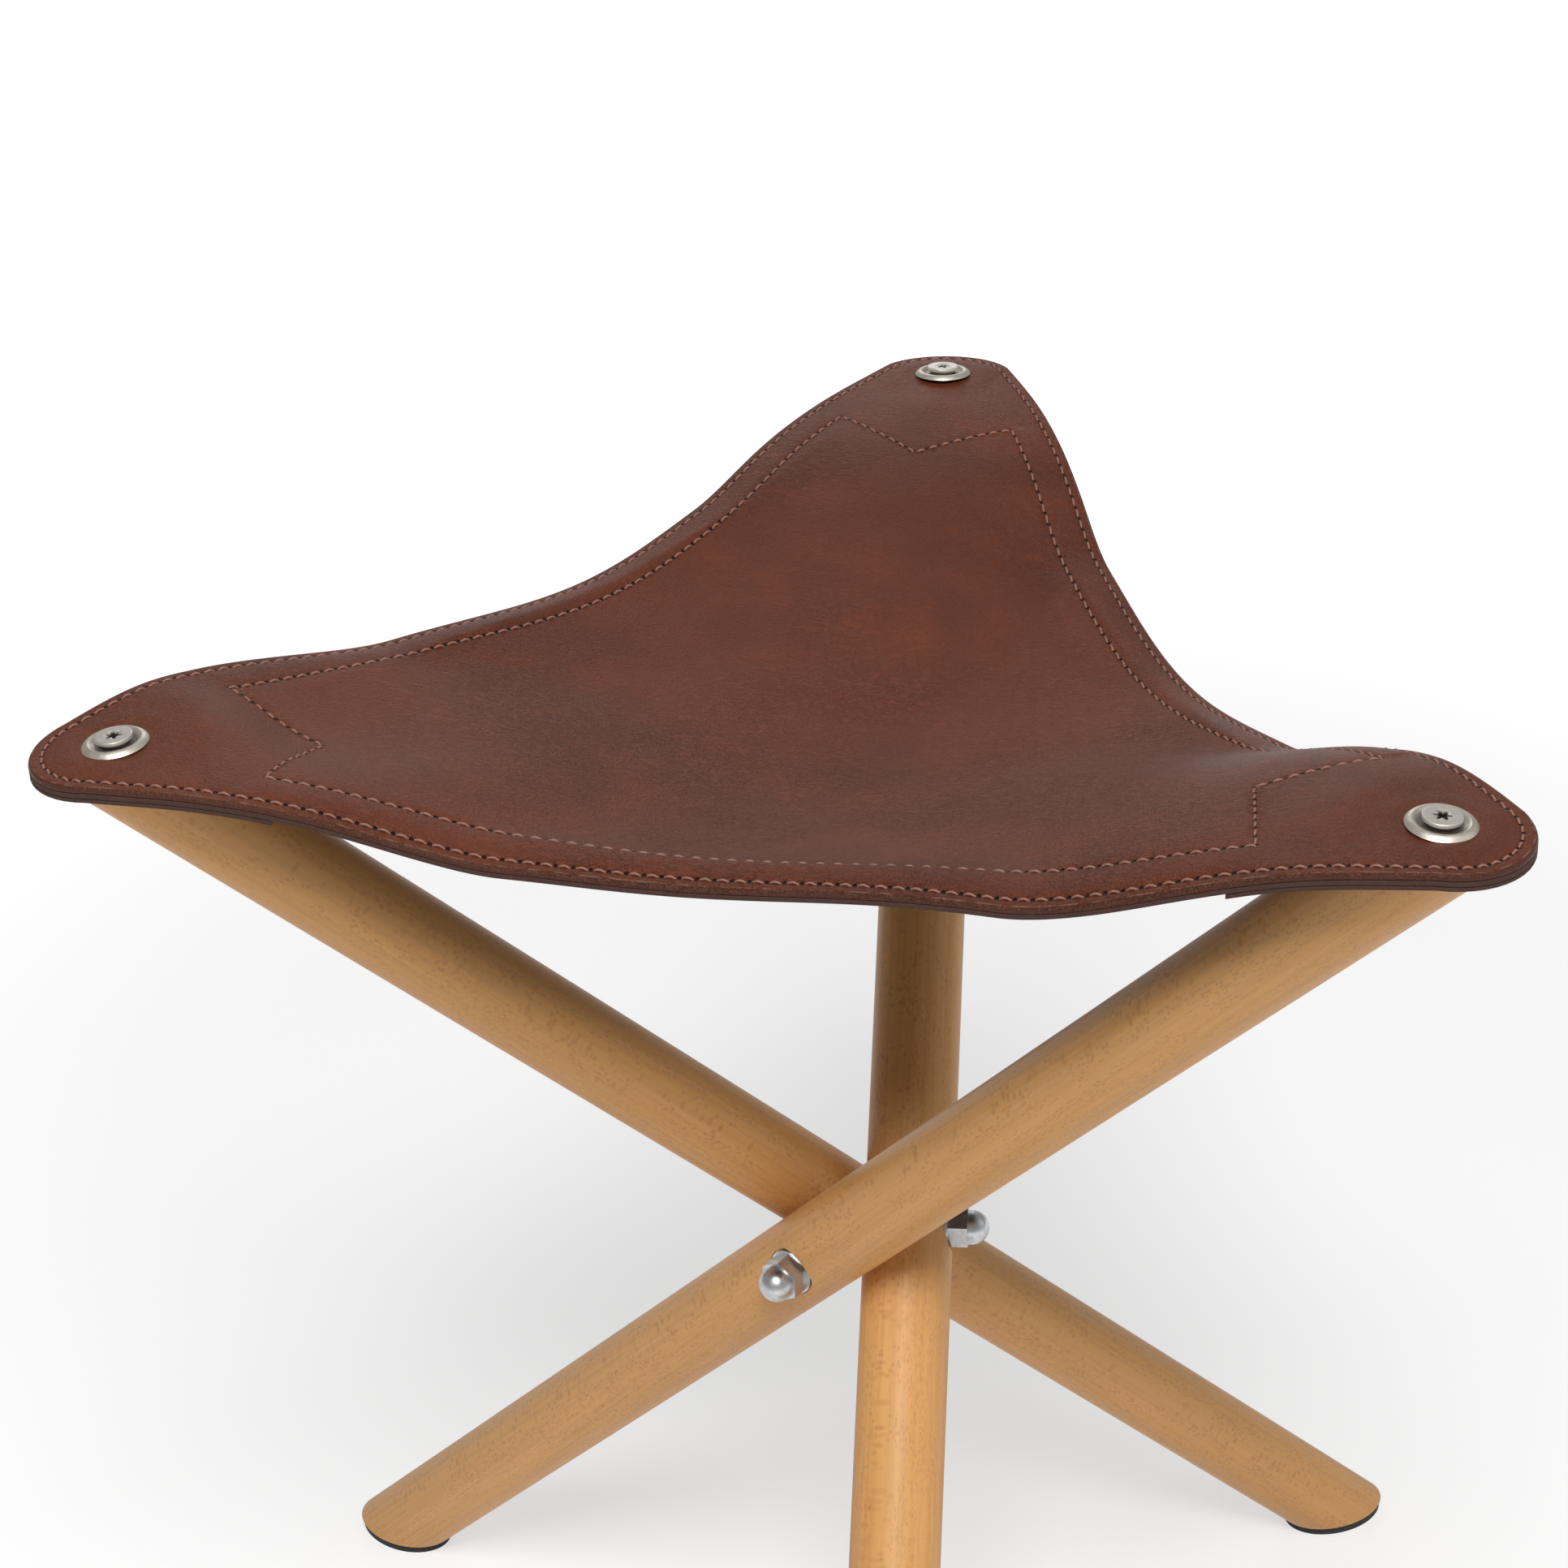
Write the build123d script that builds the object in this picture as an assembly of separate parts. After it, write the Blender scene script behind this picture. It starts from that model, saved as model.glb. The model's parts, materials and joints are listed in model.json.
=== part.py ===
from build123d import *
import os
from math import atan2, cos, degrees, exp, pi, radians, sin, sqrt, tan

# Folding tripod stool. Three round beech legs cross at a three-armed bolt and turn on its
# arms, and a double leather seat is screwed to the tops of the legs, where it holds them
# open. Millimetres and degrees, +Z up, the floor at z = 0, the bolt's middle above the
# origin. The seat's corners point to the back (+Y), the left and the right.

# Stance
leg_tilt = 44.7
hub_to_top = 307.0
hub_to_foot = 300.0
corner_azimuths = {"back": 90.0, "left": 210.0, "right": 330.0}
top_cut_tilt = 4.5

# Legs
leg_radius = 15.0
hub_gap = 5.0
end_chamfer = 1.0
pad_thickness = 3.0
pad_inset = 1.2
overrun = 4.0

# Three-armed bolt and what turns on it
stud_radius = 4.0
boss_radius = 7.5
boss_height = 11.0
boss_flat = 6.4
spot_radius = 8.6
spot_depth = 3.0
spacer_radius = 7.9
stud_washer_radius = 8.0
stud_washer_thickness = 1.6
nut_across_flats = 13.0
nut_hex_height = 6.5
nut_dome_radius = 5.9
nut_wall = 1.2
running_clearance = 0.05
thread_clearance = 0.05
washer_clearance = 0.2

# Leather
leather_thickness = 2.0
lining_thickness = 1.6
patch_thickness = 1.2
glue_gap = 0.1
rest_gap = 0.3
corner_radius = 25.7
side_curve = 14.0
side_sags = {("back", "left"): 18.3, ("left", "right"): 26.5, ("right", "back"): 37.4}
middle_sag = 8.0
level_radius = 22.0
hang_radius = 119.0
inner_hang = 80.0
hollow_depths = {"back": 2.6, "left": 12.2, "right": 2.7}
hollow_asides = {"back": 0.0, "left": -9.6, "right": -2.6}
hollow_place = 62.0
hollow_span = 36.0
hollow_clear = 30.0
patch_reach = 36.0
patch_point = 24.0
hole_clearance = 0.5
seat_crown = 0.1
loft_margin = 8.0
loft_stations = 31
loft_arcs = 14

# Seat screws, dished washers and threaded inserts
screw_radius = 3.0
screw_head_radius = 5.7
screw_head_height = 2.2
screw_head_round = 0.5
lobe_circle_radius = 1.9
lobe_radius = 0.62
recess_depth = 1.6
cup_radius = 10.0
cup_thickness = 0.8
cup_height = 1.9
cup_lip = 0.35
cup_crest_share = 0.86
cup_dish_share = 0.68
insert_radius = 4.5
insert_length = 12.0
insert_sink = 0.5
insert_clearance = 0.05

# Worked out from the sizes above
lean_reach = hub_to_top * sin(radians(leg_tilt))
foot_reach = hub_to_foot * sin(radians(leg_tilt))
stud_offset = leg_radius + hub_gap
lean_turn = degrees(atan2(stud_offset, lean_reach))
corner_reach = sqrt(lean_reach**2 + stud_offset**2)
hub_height = pad_thickness + hub_to_foot * cos(radians(leg_tilt))
top_height = hub_height + hub_to_top * cos(radians(leg_tilt))
inner_seat = stud_offset - leg_radius + spot_depth
outer_seat = stud_offset + leg_radius - spot_depth
nut_seat = outer_seat + stud_washer_thickness
stud_end = nut_seat + nut_hex_height
stack = patch_thickness + lining_thickness + leather_thickness + glue_gap + glue_gap
leather_level = top_height + rest_gap + stack
lining_level = leather_level - leather_thickness - glue_gap
patch_level = lining_level - lining_thickness - glue_gap
cup_seat = rest_gap + stack + rest_gap
screw_hole_radius = screw_radius + hole_clearance
screw_tail = overrun / 2

# How a block or cylinder stands on its plane
upwards = (Align.CENTER, Align.CENTER, Align.MIN)
downwards = (Align.CENTER, Align.CENTER, Align.MAX)


# Placing
def lean_frame(name):
    """Turns a piece built with its leg leaning towards +X to where the named leg stands."""
    return Rot(0, 0, corner_azimuths[name] + lean_turn)


def corner_place(name, height=0.0):
    """The point on the named screw's line at a height."""
    azimuth = radians(corner_azimuths[name])
    return Vector(corner_reach * cos(azimuth), corner_reach * sin(azimuth), height)


def corner_frame(name):
    """The middle of the named leg's top cut, with +X outwards and +Z square to the cut."""
    place = Pos(corner_place(name, top_height))
    return place * Rot(0, 0, corner_azimuths[name]) * Rot(0, top_cut_tilt, 0)


def along_stud(radius, near, far):
    """A round piece on the stud's line, from one distance to another off the middle."""
    place = Plane(origin=(0, -near, hub_height), z_dir=(0, -1, 0))
    return place * Cylinder(radius, far - near, align=upwards)


def ring(outer, inner, height):
    """A flat ring that stands on z = 0."""
    return Cylinder(outer, height, align=upwards) - Cylinder(inner, height, align=upwards)


# Legs and their fittings
def leg(name):
    """A dowel cut level at the foot and nearly level at the top, bored for its fittings."""
    tilt = radians(leg_tilt)
    reach = max(hub_to_top, hub_to_foot) + leg_radius * tan(tilt) + leg_radius
    axis = Plane(origin=(0, -stud_offset, hub_height), z_dir=(sin(tilt), 0, cos(tilt)))
    dowel = axis * Cylinder(leg_radius, 2 * reach)
    dowel -= along_stud(stud_radius + running_clearance, 0, stud_end)
    dowel -= along_stud(spot_radius, 0, inner_seat)
    dowel -= along_stud(spot_radius, outer_seat, stud_end)
    block = 4 * reach
    below = Pos(0, 0, pad_thickness) * Box(block, block, block, align=downwards)
    dowel = lean_frame(name) * (dowel - below)
    top = corner_frame(name)
    dowel -= top * Box(block, block, block, align=upwards)
    dowel -= top * Cylinder(insert_radius + insert_clearance, insert_sink + insert_length, align=downwards)
    hole_length = insert_sink + insert_length + screw_tail
    dowel -= top * Cylinder(screw_radius + insert_clearance, hole_length, align=downwards)
    cut_edges = dowel.edges().filter_by(GeomType.ELLIPSE)
    long_edges = [edge for edge in cut_edges if edge.length > 2 * leg_radius * sqrt(2)]
    return chamfer(long_edges, end_chamfer)


def foot_pad(name):
    """A rubber pad of the same slanted outline, glued under the level cut of the foot."""
    long_axis = leg_radius / cos(radians(leg_tilt)) - pad_inset
    outline = Pos(-foot_reach, -stud_offset) * Ellipse(long_axis, leg_radius - pad_inset)
    return lean_frame(name) * extrude(outline, pad_thickness)


def thread_insert(name):
    """A threaded sleeve sunk into the top of the leg."""
    sleeve = ring(insert_radius, screw_radius + thread_clearance, insert_length)
    return corner_frame(name) * Pos(0, 0, -insert_sink - insert_length) * sleeve


def cup_washer(name):
    """A dished washer: a rounded rim that drops to a flat middle under the screw's head."""
    crest = cup_radius * cup_crest_share
    dish = cup_radius * cup_dish_share
    hole = screw_radius + washer_clearance
    with BuildSketch(Plane.XZ) as profile:
        with BuildLine():
            rim = Line((cup_radius, 0), (cup_radius, cup_lip))
            top = (crest, cup_height)
            crown = Spline(rim @ 1, top, (dish, cup_thickness), tangents=[(0, 1), (-1, 0)])
            floor_line = Polyline(crown @ 1, (hole, cup_thickness), (hole, 0), (dish, 0))
            hollow = (crest, cup_height - cup_thickness)
            under = Spline(floor_line @ 1, hollow, (cup_radius - cup_lip, 0), tangents=[(1, 0), (0, -1)])
            Line(under @ 1, rim @ 0)
        make_face()
    washer = revolve(profile.sketch, Axis.Z)
    return corner_frame(name) * Pos(0, 0, cup_seat) * washer


def seat_screw(name):
    """A flat round head with a six-lobed recess, on a plain shank that stands for the thread."""
    head = Cylinder(screw_head_radius, screw_head_height, align=upwards)
    head = fillet(head.edges().sort_by(Axis.Z)[-1], screw_head_round)
    recess = Cylinder(lobe_circle_radius, recess_depth, align=upwards)
    for lobe in PolarLocations(lobe_circle_radius, 6):
        recess += lobe * Cylinder(lobe_radius, recess_depth, align=upwards)
    head -= Pos(0, 0, screw_head_height - recess_depth) * recess
    head_seat = cup_seat + cup_thickness
    shank_length = head_seat + insert_sink + insert_length + screw_tail / 2
    shank = Cylinder(screw_radius, shank_length, align=downwards)
    return corner_frame(name) * Pos(0, 0, head_seat) * (head + shank)


# Hub
def three_way_bolt():
    """Three studs that leave one boss at equal angles, each square to the leg it carries."""
    boss = Pos(0, 0, hub_height) * Cylinder(boss_radius, boss_height)
    side = Box(4 * boss_radius, boss_radius, 2 * boss_height, align=(Align.CENTER, Align.MAX, Align.CENTER))
    for name in corner_azimuths:
        boss -= lean_frame(name) * Pos(0, -boss_flat, hub_height) * side
    for name in corner_azimuths:
        boss += lean_frame(name) * along_stud(stud_radius, 0, stud_end)
    return boss


def spacer_washer(name):
    """A plastic ring between the boss and the leg's inner seat."""
    disc = along_stud(spacer_radius, boss_flat, inner_seat)
    return lean_frame(name) * (disc - along_stud(stud_radius + washer_clearance, boss_flat, inner_seat))


def stud_washer(name):
    """A steel washer on the leg's outer seat."""
    disc = along_stud(stud_washer_radius, outer_seat, nut_seat)
    return lean_frame(name) * (disc - along_stud(stud_radius + washer_clearance, outer_seat, nut_seat))


def cap_nut(name):
    """A hexagon nut closed by a dome, on the end of the stud."""
    face = Plane(origin=(0, -nut_seat, hub_height), z_dir=(0, -1, 0))
    prism = extrude(RegularPolygon(nut_across_flats / 2, 6, major_radius=False), nut_hex_height)
    dome_height = stud_end + nut_wall - nut_seat
    dome = Cylinder(nut_dome_radius, dome_height, align=upwards)
    dome += Pos(0, 0, dome_height) * Sphere(nut_dome_radius)
    bore = Cylinder(stud_radius + thread_clearance, nut_hex_height + nut_wall / 2, align=upwards)
    block = 4 * nut_dome_radius
    below = Box(block, block, block, align=downwards)
    return lean_frame(name) * (face * (prism + dome - bore - below))


# Seat
def sides():
    """Each side of the seat as its two corner names, counterclockwise."""
    names = list(corner_azimuths)
    return list(zip(names, names[1:] + names[:1]))


def seat_outline():
    """The cut in plan: round corners about the screws, and sides that curve inwards."""
    edges = []
    for here, there in sides():
        along = (corner_place(there) - corner_place(here)).normalized()
        outward = Vector(along.Y, -along.X)
        start = corner_place(here) + outward * corner_radius
        end = corner_place(there) + outward * corner_radius
        quarter = (end - start) * 0.25 - outward * side_curve / 2
        last_quarter = (start - end) * 0.25 - outward * side_curve / 2
        first = TangentArc(start, start + quarter, tangent=along)
        middle = TangentArc(start + quarter, end + last_quarter, tangent=first % 1)
        last = TangentArc(end + last_quarter, end, tangent=middle % 1)
        edges += [first, middle, last]
    rounds = []
    for index, name in enumerate(corner_azimuths):
        tip_azimuth = radians(corner_azimuths[name])
        tip = corner_place(name) + Vector(cos(tip_azimuth), sin(tip_azimuth)) * corner_radius
        before = edges[3 * index - 1] @ 1
        after = edges[3 * index] @ 0
        rounds.append(ThreePointArc(before, tip, after))
    return Face(Wire([edge for piece in edges + rounds for edge in piece.edges()]))


def smooth(value):
    """Eases from 0 to 1."""
    held = min(max(value, 0.0), 1.0)
    return held * held * (3 - 2 * held)


def hump(value, width):
    """A rounded hump of height 1."""
    return exp(-((value / width) ** 2))


def seat_drop(x, y):
    """How far the hanging leather lies below the level of the screws at a plan point."""
    places = {}
    shares = {}
    for name in corner_azimuths:
        azimuth = radians(corner_azimuths[name])
        inward = corner_reach - x * cos(azimuth) - y * sin(azimuth)
        places[name] = (inward, y * cos(azimuth) - x * sin(azimuth))
        shares[name] = max(1 - inward / (1.5 * corner_reach), 0.0)
    middle = 27 * shares["back"] * shares["left"] * shares["right"]
    drop = sum(sag * 4 * shares[a] * shares[b] for (a, b), sag in side_sags.items())
    drop += middle_sag * middle
    lift = 0.0
    for name, (inward, aside) in places.items():
        past = sqrt(inward**2 + aside**2) - level_radius
        free = smooth(past / (hang_radius - level_radius))
        drop *= smooth(past / (hang_radius + inner_hang * middle - level_radius))
        lift += tan(radians(top_cut_tilt)) * inward * (1 - free)
        hollow = hump(inward - hollow_place, hollow_span)
        hollow *= hump(aside - hollow_asides[name], hollow_span)
        lift -= hollow_depths[name] * hollow * smooth(past / hollow_clear)
    return drop - lift


def section_arcs(station, level):
    """The arcs of one cross section at a Y, from the left to the right, at a level."""
    slope_width = (corner_reach - station) * tan(radians(30))
    half_width = max(slope_width, 0.0) + corner_radius / cos(radians(30)) + loft_margin
    points = []
    for step in range(2 * loft_arcs + 1):
        x_share = -cos(pi * step / (2 * loft_arcs))
        crown = seat_crown * (1 - x_share**2)
        x = half_width * x_share
        points.append(Vector(x, station, level + crown - seat_drop(x, station)))
    return [ThreePointArc(*points[first : first + 3]) for first in range(0, 2 * loft_arcs, 2)]


def hanging_slab(level, thickness):
    """A slab of leather wider than the seat that hangs as the seat does, its top at a level."""
    front = -corner_reach / 2 - corner_radius - loft_margin
    back = corner_reach + corner_radius + loft_margin
    wires = []
    for index in range(loft_stations):
        station = (front + back) / 2 - (back - front) / 2 * cos(pi * index / (loft_stations - 1))
        upper = section_arcs(station, level)
        lower = section_arcs(station, level - thickness)
        left = Line(upper[0] @ 0, lower[0] @ 0)
        right = Line(upper[-1] @ 1, lower[-1] @ 1)
        loop = [*upper, right, *lower, left]
        wires.append(Wire([edge for piece in loop for edge in piece.edges()]))
    return Solid.make_loft(wires)


def seat_ply(level, thickness, outline):
    """One layer of the seat, cut to an outline, with a hole for each screw."""
    height = 4 * max([*side_sags.values(), stack]) + thickness
    prism = Pos(0, 0, level - height / 2) * extrude(outline, height)
    ply = hanging_slab(level, thickness) & prism
    for name in corner_azimuths:
        ply -= corner_frame(name) * Cylinder(screw_hole_radius, 4 * stack)
    return ply


def corner_outline(name):
    """The part of the outline that a corner patch covers, with a point towards the middle."""
    half_width = 2 * corner_radius
    outer = corner_radius + overrun
    with BuildSketch() as cover:
        with BuildLine():
            Polyline(
                (outer, -half_width),
                (outer, half_width),
                (-patch_reach, half_width),
                (-patch_reach - patch_point, 0),
                (-patch_reach, -half_width),
                close=True,
            )
        make_face()
    place = Pos(corner_place(name)) * Rot(0, 0, corner_azimuths[name])
    return seat_outline() & (place * cover.sketch)


os.makedirs("parts", exist_ok=True)
pieces = {"three_way_bolt": three_way_bolt()}
for corner in corner_azimuths:
    pieces["leg_" + corner] = leg(corner)
    pieces["foot_pad_" + corner] = foot_pad(corner)
    pieces["thread_insert_" + corner] = thread_insert(corner)
    pieces["cup_washer_" + corner] = cup_washer(corner)
    pieces["seat_screw_" + corner] = seat_screw(corner)
    pieces["spacer_washer_" + corner] = spacer_washer(corner)
    pieces["stud_washer_" + corner] = stud_washer(corner)
    pieces["cap_nut_" + corner] = cap_nut(corner)
    pieces["corner_patch_" + corner] = seat_ply(patch_level, patch_thickness, corner_outline(corner))
pieces["seat_leather"] = seat_ply(leather_level, leather_thickness, seat_outline())
pieces["seat_lining"] = seat_ply(lining_level, lining_thickness, seat_outline())

for node, piece in pieces.items():
    export_step(piece, "parts/" + node + ".step")
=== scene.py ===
import json
from functools import partialmethod
from math import atan2, cos, pi, radians, sin, sqrt, tan

import bmesh
import bpy
import numpy as np
from bpy.props import (
    FloatProperty,
    FloatVectorProperty,
    IntProperty,
    PointerProperty,
)
from mathutils import Matrix, Vector


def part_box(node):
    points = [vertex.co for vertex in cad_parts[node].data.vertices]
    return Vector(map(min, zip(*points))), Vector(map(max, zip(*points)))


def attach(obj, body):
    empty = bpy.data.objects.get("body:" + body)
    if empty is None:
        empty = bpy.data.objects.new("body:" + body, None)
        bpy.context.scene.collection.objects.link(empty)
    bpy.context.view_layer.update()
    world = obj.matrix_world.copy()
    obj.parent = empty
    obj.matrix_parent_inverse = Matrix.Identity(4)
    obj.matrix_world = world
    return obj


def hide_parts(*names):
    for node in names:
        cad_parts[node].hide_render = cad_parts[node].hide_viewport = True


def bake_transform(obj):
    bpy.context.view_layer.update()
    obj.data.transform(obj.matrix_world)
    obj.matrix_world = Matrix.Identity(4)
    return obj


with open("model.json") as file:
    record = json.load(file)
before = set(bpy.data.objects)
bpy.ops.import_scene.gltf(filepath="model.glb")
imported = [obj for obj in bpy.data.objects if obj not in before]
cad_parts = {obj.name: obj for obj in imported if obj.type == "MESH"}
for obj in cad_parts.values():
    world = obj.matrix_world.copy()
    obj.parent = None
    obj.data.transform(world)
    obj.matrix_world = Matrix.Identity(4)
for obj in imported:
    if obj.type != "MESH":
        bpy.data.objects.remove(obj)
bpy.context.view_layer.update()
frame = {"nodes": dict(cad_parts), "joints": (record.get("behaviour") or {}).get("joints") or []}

bl_info = {
    "name": "Folding tripod stool",
    "version": (1, 0, 0),
    "blender": (4, 5, 0),
    "location": "3D View > Sidebar > Stool",
    "description": "Sewn leather seat, beech legs and steel fittings of a folding tripod stool",
    "category": "Object",
}

CORNERS = ("back", "left", "right")
SIDES = (("back", "left"), ("left", "right"), ("right", "back"))
SIXTH_TURN = pi / 3

# Heights of the sine waves that each side of the seat hangs in, longest first
BACK_LEFT_WAVES = (0, -0.0023, 0.0012, -0.0005, -0.0015, -0.0008)
FRONT_WAVES = (0, 0.0014, -0.0021, 0.0009, -0.0013, -0.0006)
RIGHT_BACK_WAVES = (0, -0.0005, -0.0006, 0.0011, -0.0028, 0.0001)

# Spacing along the cut of the points of a ply, of a patch and of a flat cut, in metres
PLY_STEP = 0.0021
PATCH_STEP = 0.003
FLAT_STEP = 0.002

# Insets of the rings that follow the cut on a ply's fine face, in tenths of a millimetre, and on its
# coarse face, in metres
FINE_RINGS = (6, 12, 20, 28, 34, 40, 46, 52, 64, 80, 96, 112, 126, 140, 151, 160, 169, 180)
COARSE_RINGS = (0.003, 0.006, 0.009, 0.012, 0.015)

# Rings of the fine face start this many edge radii in from the cut
ROUND_MARGIN = 1.2

# Counts of rings from the seat's middle out to those, and of a patch's rows
LEATHER_STEPS = 70
LINING_STEPS = 40
COARSE_STEPS = 22
PATCH_ROWS = 24

# Points nearer than this are joined, and a normal is divided by no less than the shortest length
JOINED = 1e-6
SHORTEST = 1e-15

# What brings the product of the three corners' shares to 1 at the seat's middle, and of two corners'
# shares to 1 at the middle of their side
MIDDLE_SCALE = 27
SIDE_SCALE = 4

# How sharply a tab row's groove ends, how far past its end needle holes show, in stitches, and the
# softness of a hole's edge as a share of its radius
TAB_FADE = 12
TAB_SPARE = 0.3
HOLE_FADE = 0.3

# Sides and lobes of a spun piece, and the angle from which its edges look sharp
SPUN_SIDES = 96
LOBES = 6
SHARP_ANGLE = radians(40)

# Steps over a washer's dish and over its flange, how the flange curves down, sides and cuts of a stitch
DISH_STEPS = 12
FLANGE_STEPS = 10
FLANGE_CURVE = 1.8
THREAD_SIDES = 6
THREAD_CUTS = 5

# Proportions of a screw: floor of its recess to the recess, and neck to shank
RECESS_TAPER = 0.9
NECK_SHARE = 1.3

# Noises of the leather by name: scale, detail, roughness
LEATHER_NOISES = {
    "blotch": (11.0, 3.0, 0.6),
    "cloud": (48.0, 4.0, 0.6),
    "speck": (520.0, 3.0, 0.6),
    "grain": (900.0, 4.0, 0.65),
    "drift": (15.0, 2.0, 0.5),
    "fibre": (1500.0, 3.0, 0.7),
    "breaks": (260.0, 2.0, 0.5),
}

# The wrinkles' noise with its distortion, its stretch, and the scale of the pores' cells
WRINKLES = (270.0, 3.0, 0.55, 0.5)
WRINKLE_STRETCH = (1, 2.1, 1)
PORE_SCALE = 1300.0

# Layers of the leather's tone: colour, noise, its range, and the layer's share at the range's ends
LEATHER_LAYERS = (
    ("leather_dark", "blotch", 0.40, 0.64, 0.0, 1.0),
    ("leather_warm", "cloud", 0.45, 0.75, 0.0, 0.5),
    ("leather_dark", "speck", 0.36, 0.64, 0.30, 0.0),
    ("leather_dark", "pores", 0.05, 0.5, 0.18, 0.0),
)

# Patterns of the beech by name: stretch across, across and along its grain, detail, roughness, swirl
BEECH_NOISES = {
    "which": ((70, 420, 70), 2.0, 0.5, 0.0),
    "where": ((14, 70, 7), 2.0, 0.5, 0.0),
    "pores": ((3200, 3200, 210), 2.0, 0.5, 0.0),
    "streaks": ((700, 700, 14), 4.0, 0.6, 0.0),
    "rings": ((260, 26, 2.2), 3.0, 0.55, 0.4),
    "drift": ((30, 30, 5), 2.0, 0.5, 0.0),
}

# Layers of the beech's tone: colour, its share of light, pattern, range, and shares as for the leather
BEECH_LAYERS = (
    ("beech_light", 1.0, "rings", 0.35, 0.7, 0.0, 0.6),
    ("beech", 0.84, "drift", 0.4, 0.7, 0.0, 0.35),
    ("beech", 0.72, "streaks", 0.40, 0.70, 0.0, 0.35),
    ("beech", 0.55, "pores", 0.56, 0.78, 0.0, 0.35),
)

# Stretch of the cells that are the beech's small and broad rays
SMALL_RAYS = (170, 2300, 430)
BROAD_RAYS = (60, 520, 260)


# Short calls for the sizes, colours and places that a user would change
def setting(kind, **settings):
    """A property of one kind, to be called with its name, description and default."""

    def made(name, description, default):
        return kind(name=name, description=description, default=default, **settings)

    return made


number = setting(FloatProperty)
angle = setting(FloatProperty, subtype="ANGLE")
length = setting(FloatProperty, unit="LENGTH", precision=5)
triple = setting(FloatVectorProperty, unit="LENGTH", precision=5, size=3)
waves = setting(FloatVectorProperty, unit="LENGTH", precision=5, size=6)
colour = setting(FloatVectorProperty, subtype="COLOR", size=3, min=0, max=1)
whole = setting(IntProperty)


class StoolSeat(bpy.types.PropertyGroup):
    corner_radius: length("Corner radius", "Round of the cut about each seat screw", 0.0257)
    side_curve: length("Side curve", "How far each side curves inwards at its middle", 0.014)
    sags: triple("Sags", "Hang of the sides back-left, left-right and right-back", (0.0183, 0.0265, 0.0374))
    middle_sag: length("Middle sag", "Extra hang of the seat's middle", 0.008)
    level_radius: length("Level radius", "Leather this near to a screw lies on the leg", 0.022)
    hang_radius: length("Hang radius", "Leather this far from every screw hangs freely", 0.119)
    tab_tilt: angle("Tab tilt", "Outward tilt of the legs' top cuts", radians(4.5))
    leather: length("Leather", "Thickness of the top ply", 0.0020)
    lining: length("Lining", "Thickness of the under ply", 0.0016)
    patch: length("Patch", "Thickness of the corner patches", 0.0012)
    glue_gap: length("Glue gap", "Space between plies", 0.0001)
    washer_rise: length("Washer rise", "From the leather's face to the middle of a washer", 0.00122)
    inner_hang: length("Inner hang", "How much farther from a screw the middle starts to hang freely", 0.08)
    dips: triple("Dips", "Hollows past the legs at back, left and right", (0.0026, 0.0122, 0.0027))
    dip_place: length("Dip place", "Where a hollow lies, inwards of its screw", 0.062)
    asides: triple("Asides", "How far those hollows lie aside of their legs", (0, -0.0096, -0.0026))
    dip_span: length("Dip span", "Width of a hollow", 0.036)
    dip_clear: length("Dip clear", "A hollow reaches its depth this far past the leather on the leg", 0.030)
    patch_reach: length("Patch reach", "How far a patch runs along the sides, inwards of its screw", 0.036)
    patch_point: length("Patch point", "How far the patch's point lies past its sides", 0.024)
    round_over: length("Round over", "Radius of the seat's upper edge", 0.0013)
    ply_round: length("Ply round", "Radius of the other edges of each ply", 0.0004)
    band: length("Edge band", "Width of the strip whose rings follow the cut", 0.020)
    wave_back_left: waves("Waves, back left", "Waves of the side between back and left", BACK_LEFT_WAVES)
    wave_left_right: waves("Waves, front", "Waves of the side between left and right", FRONT_WAVES)
    wave_right_back: waves("Waves, right back", "Waves of the side between right and back", RIGHT_BACK_WAVES)
    wave_reach: length("Wave reach", "How far from the side the waves fade out", 0.055)
    ridge_height: length("Ridge height", "Bulge over the inner edge of each leg", 0.0012)
    ridge_place: length("Ridge place", "Where the bulge lies, inwards of the screw", 0.024)
    ridge_width: length("Ridge width", "Width of the bulge", 0.009)
    ridge_span: length("Ridge span", "Length of the bulge to each side", 0.016)


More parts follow.
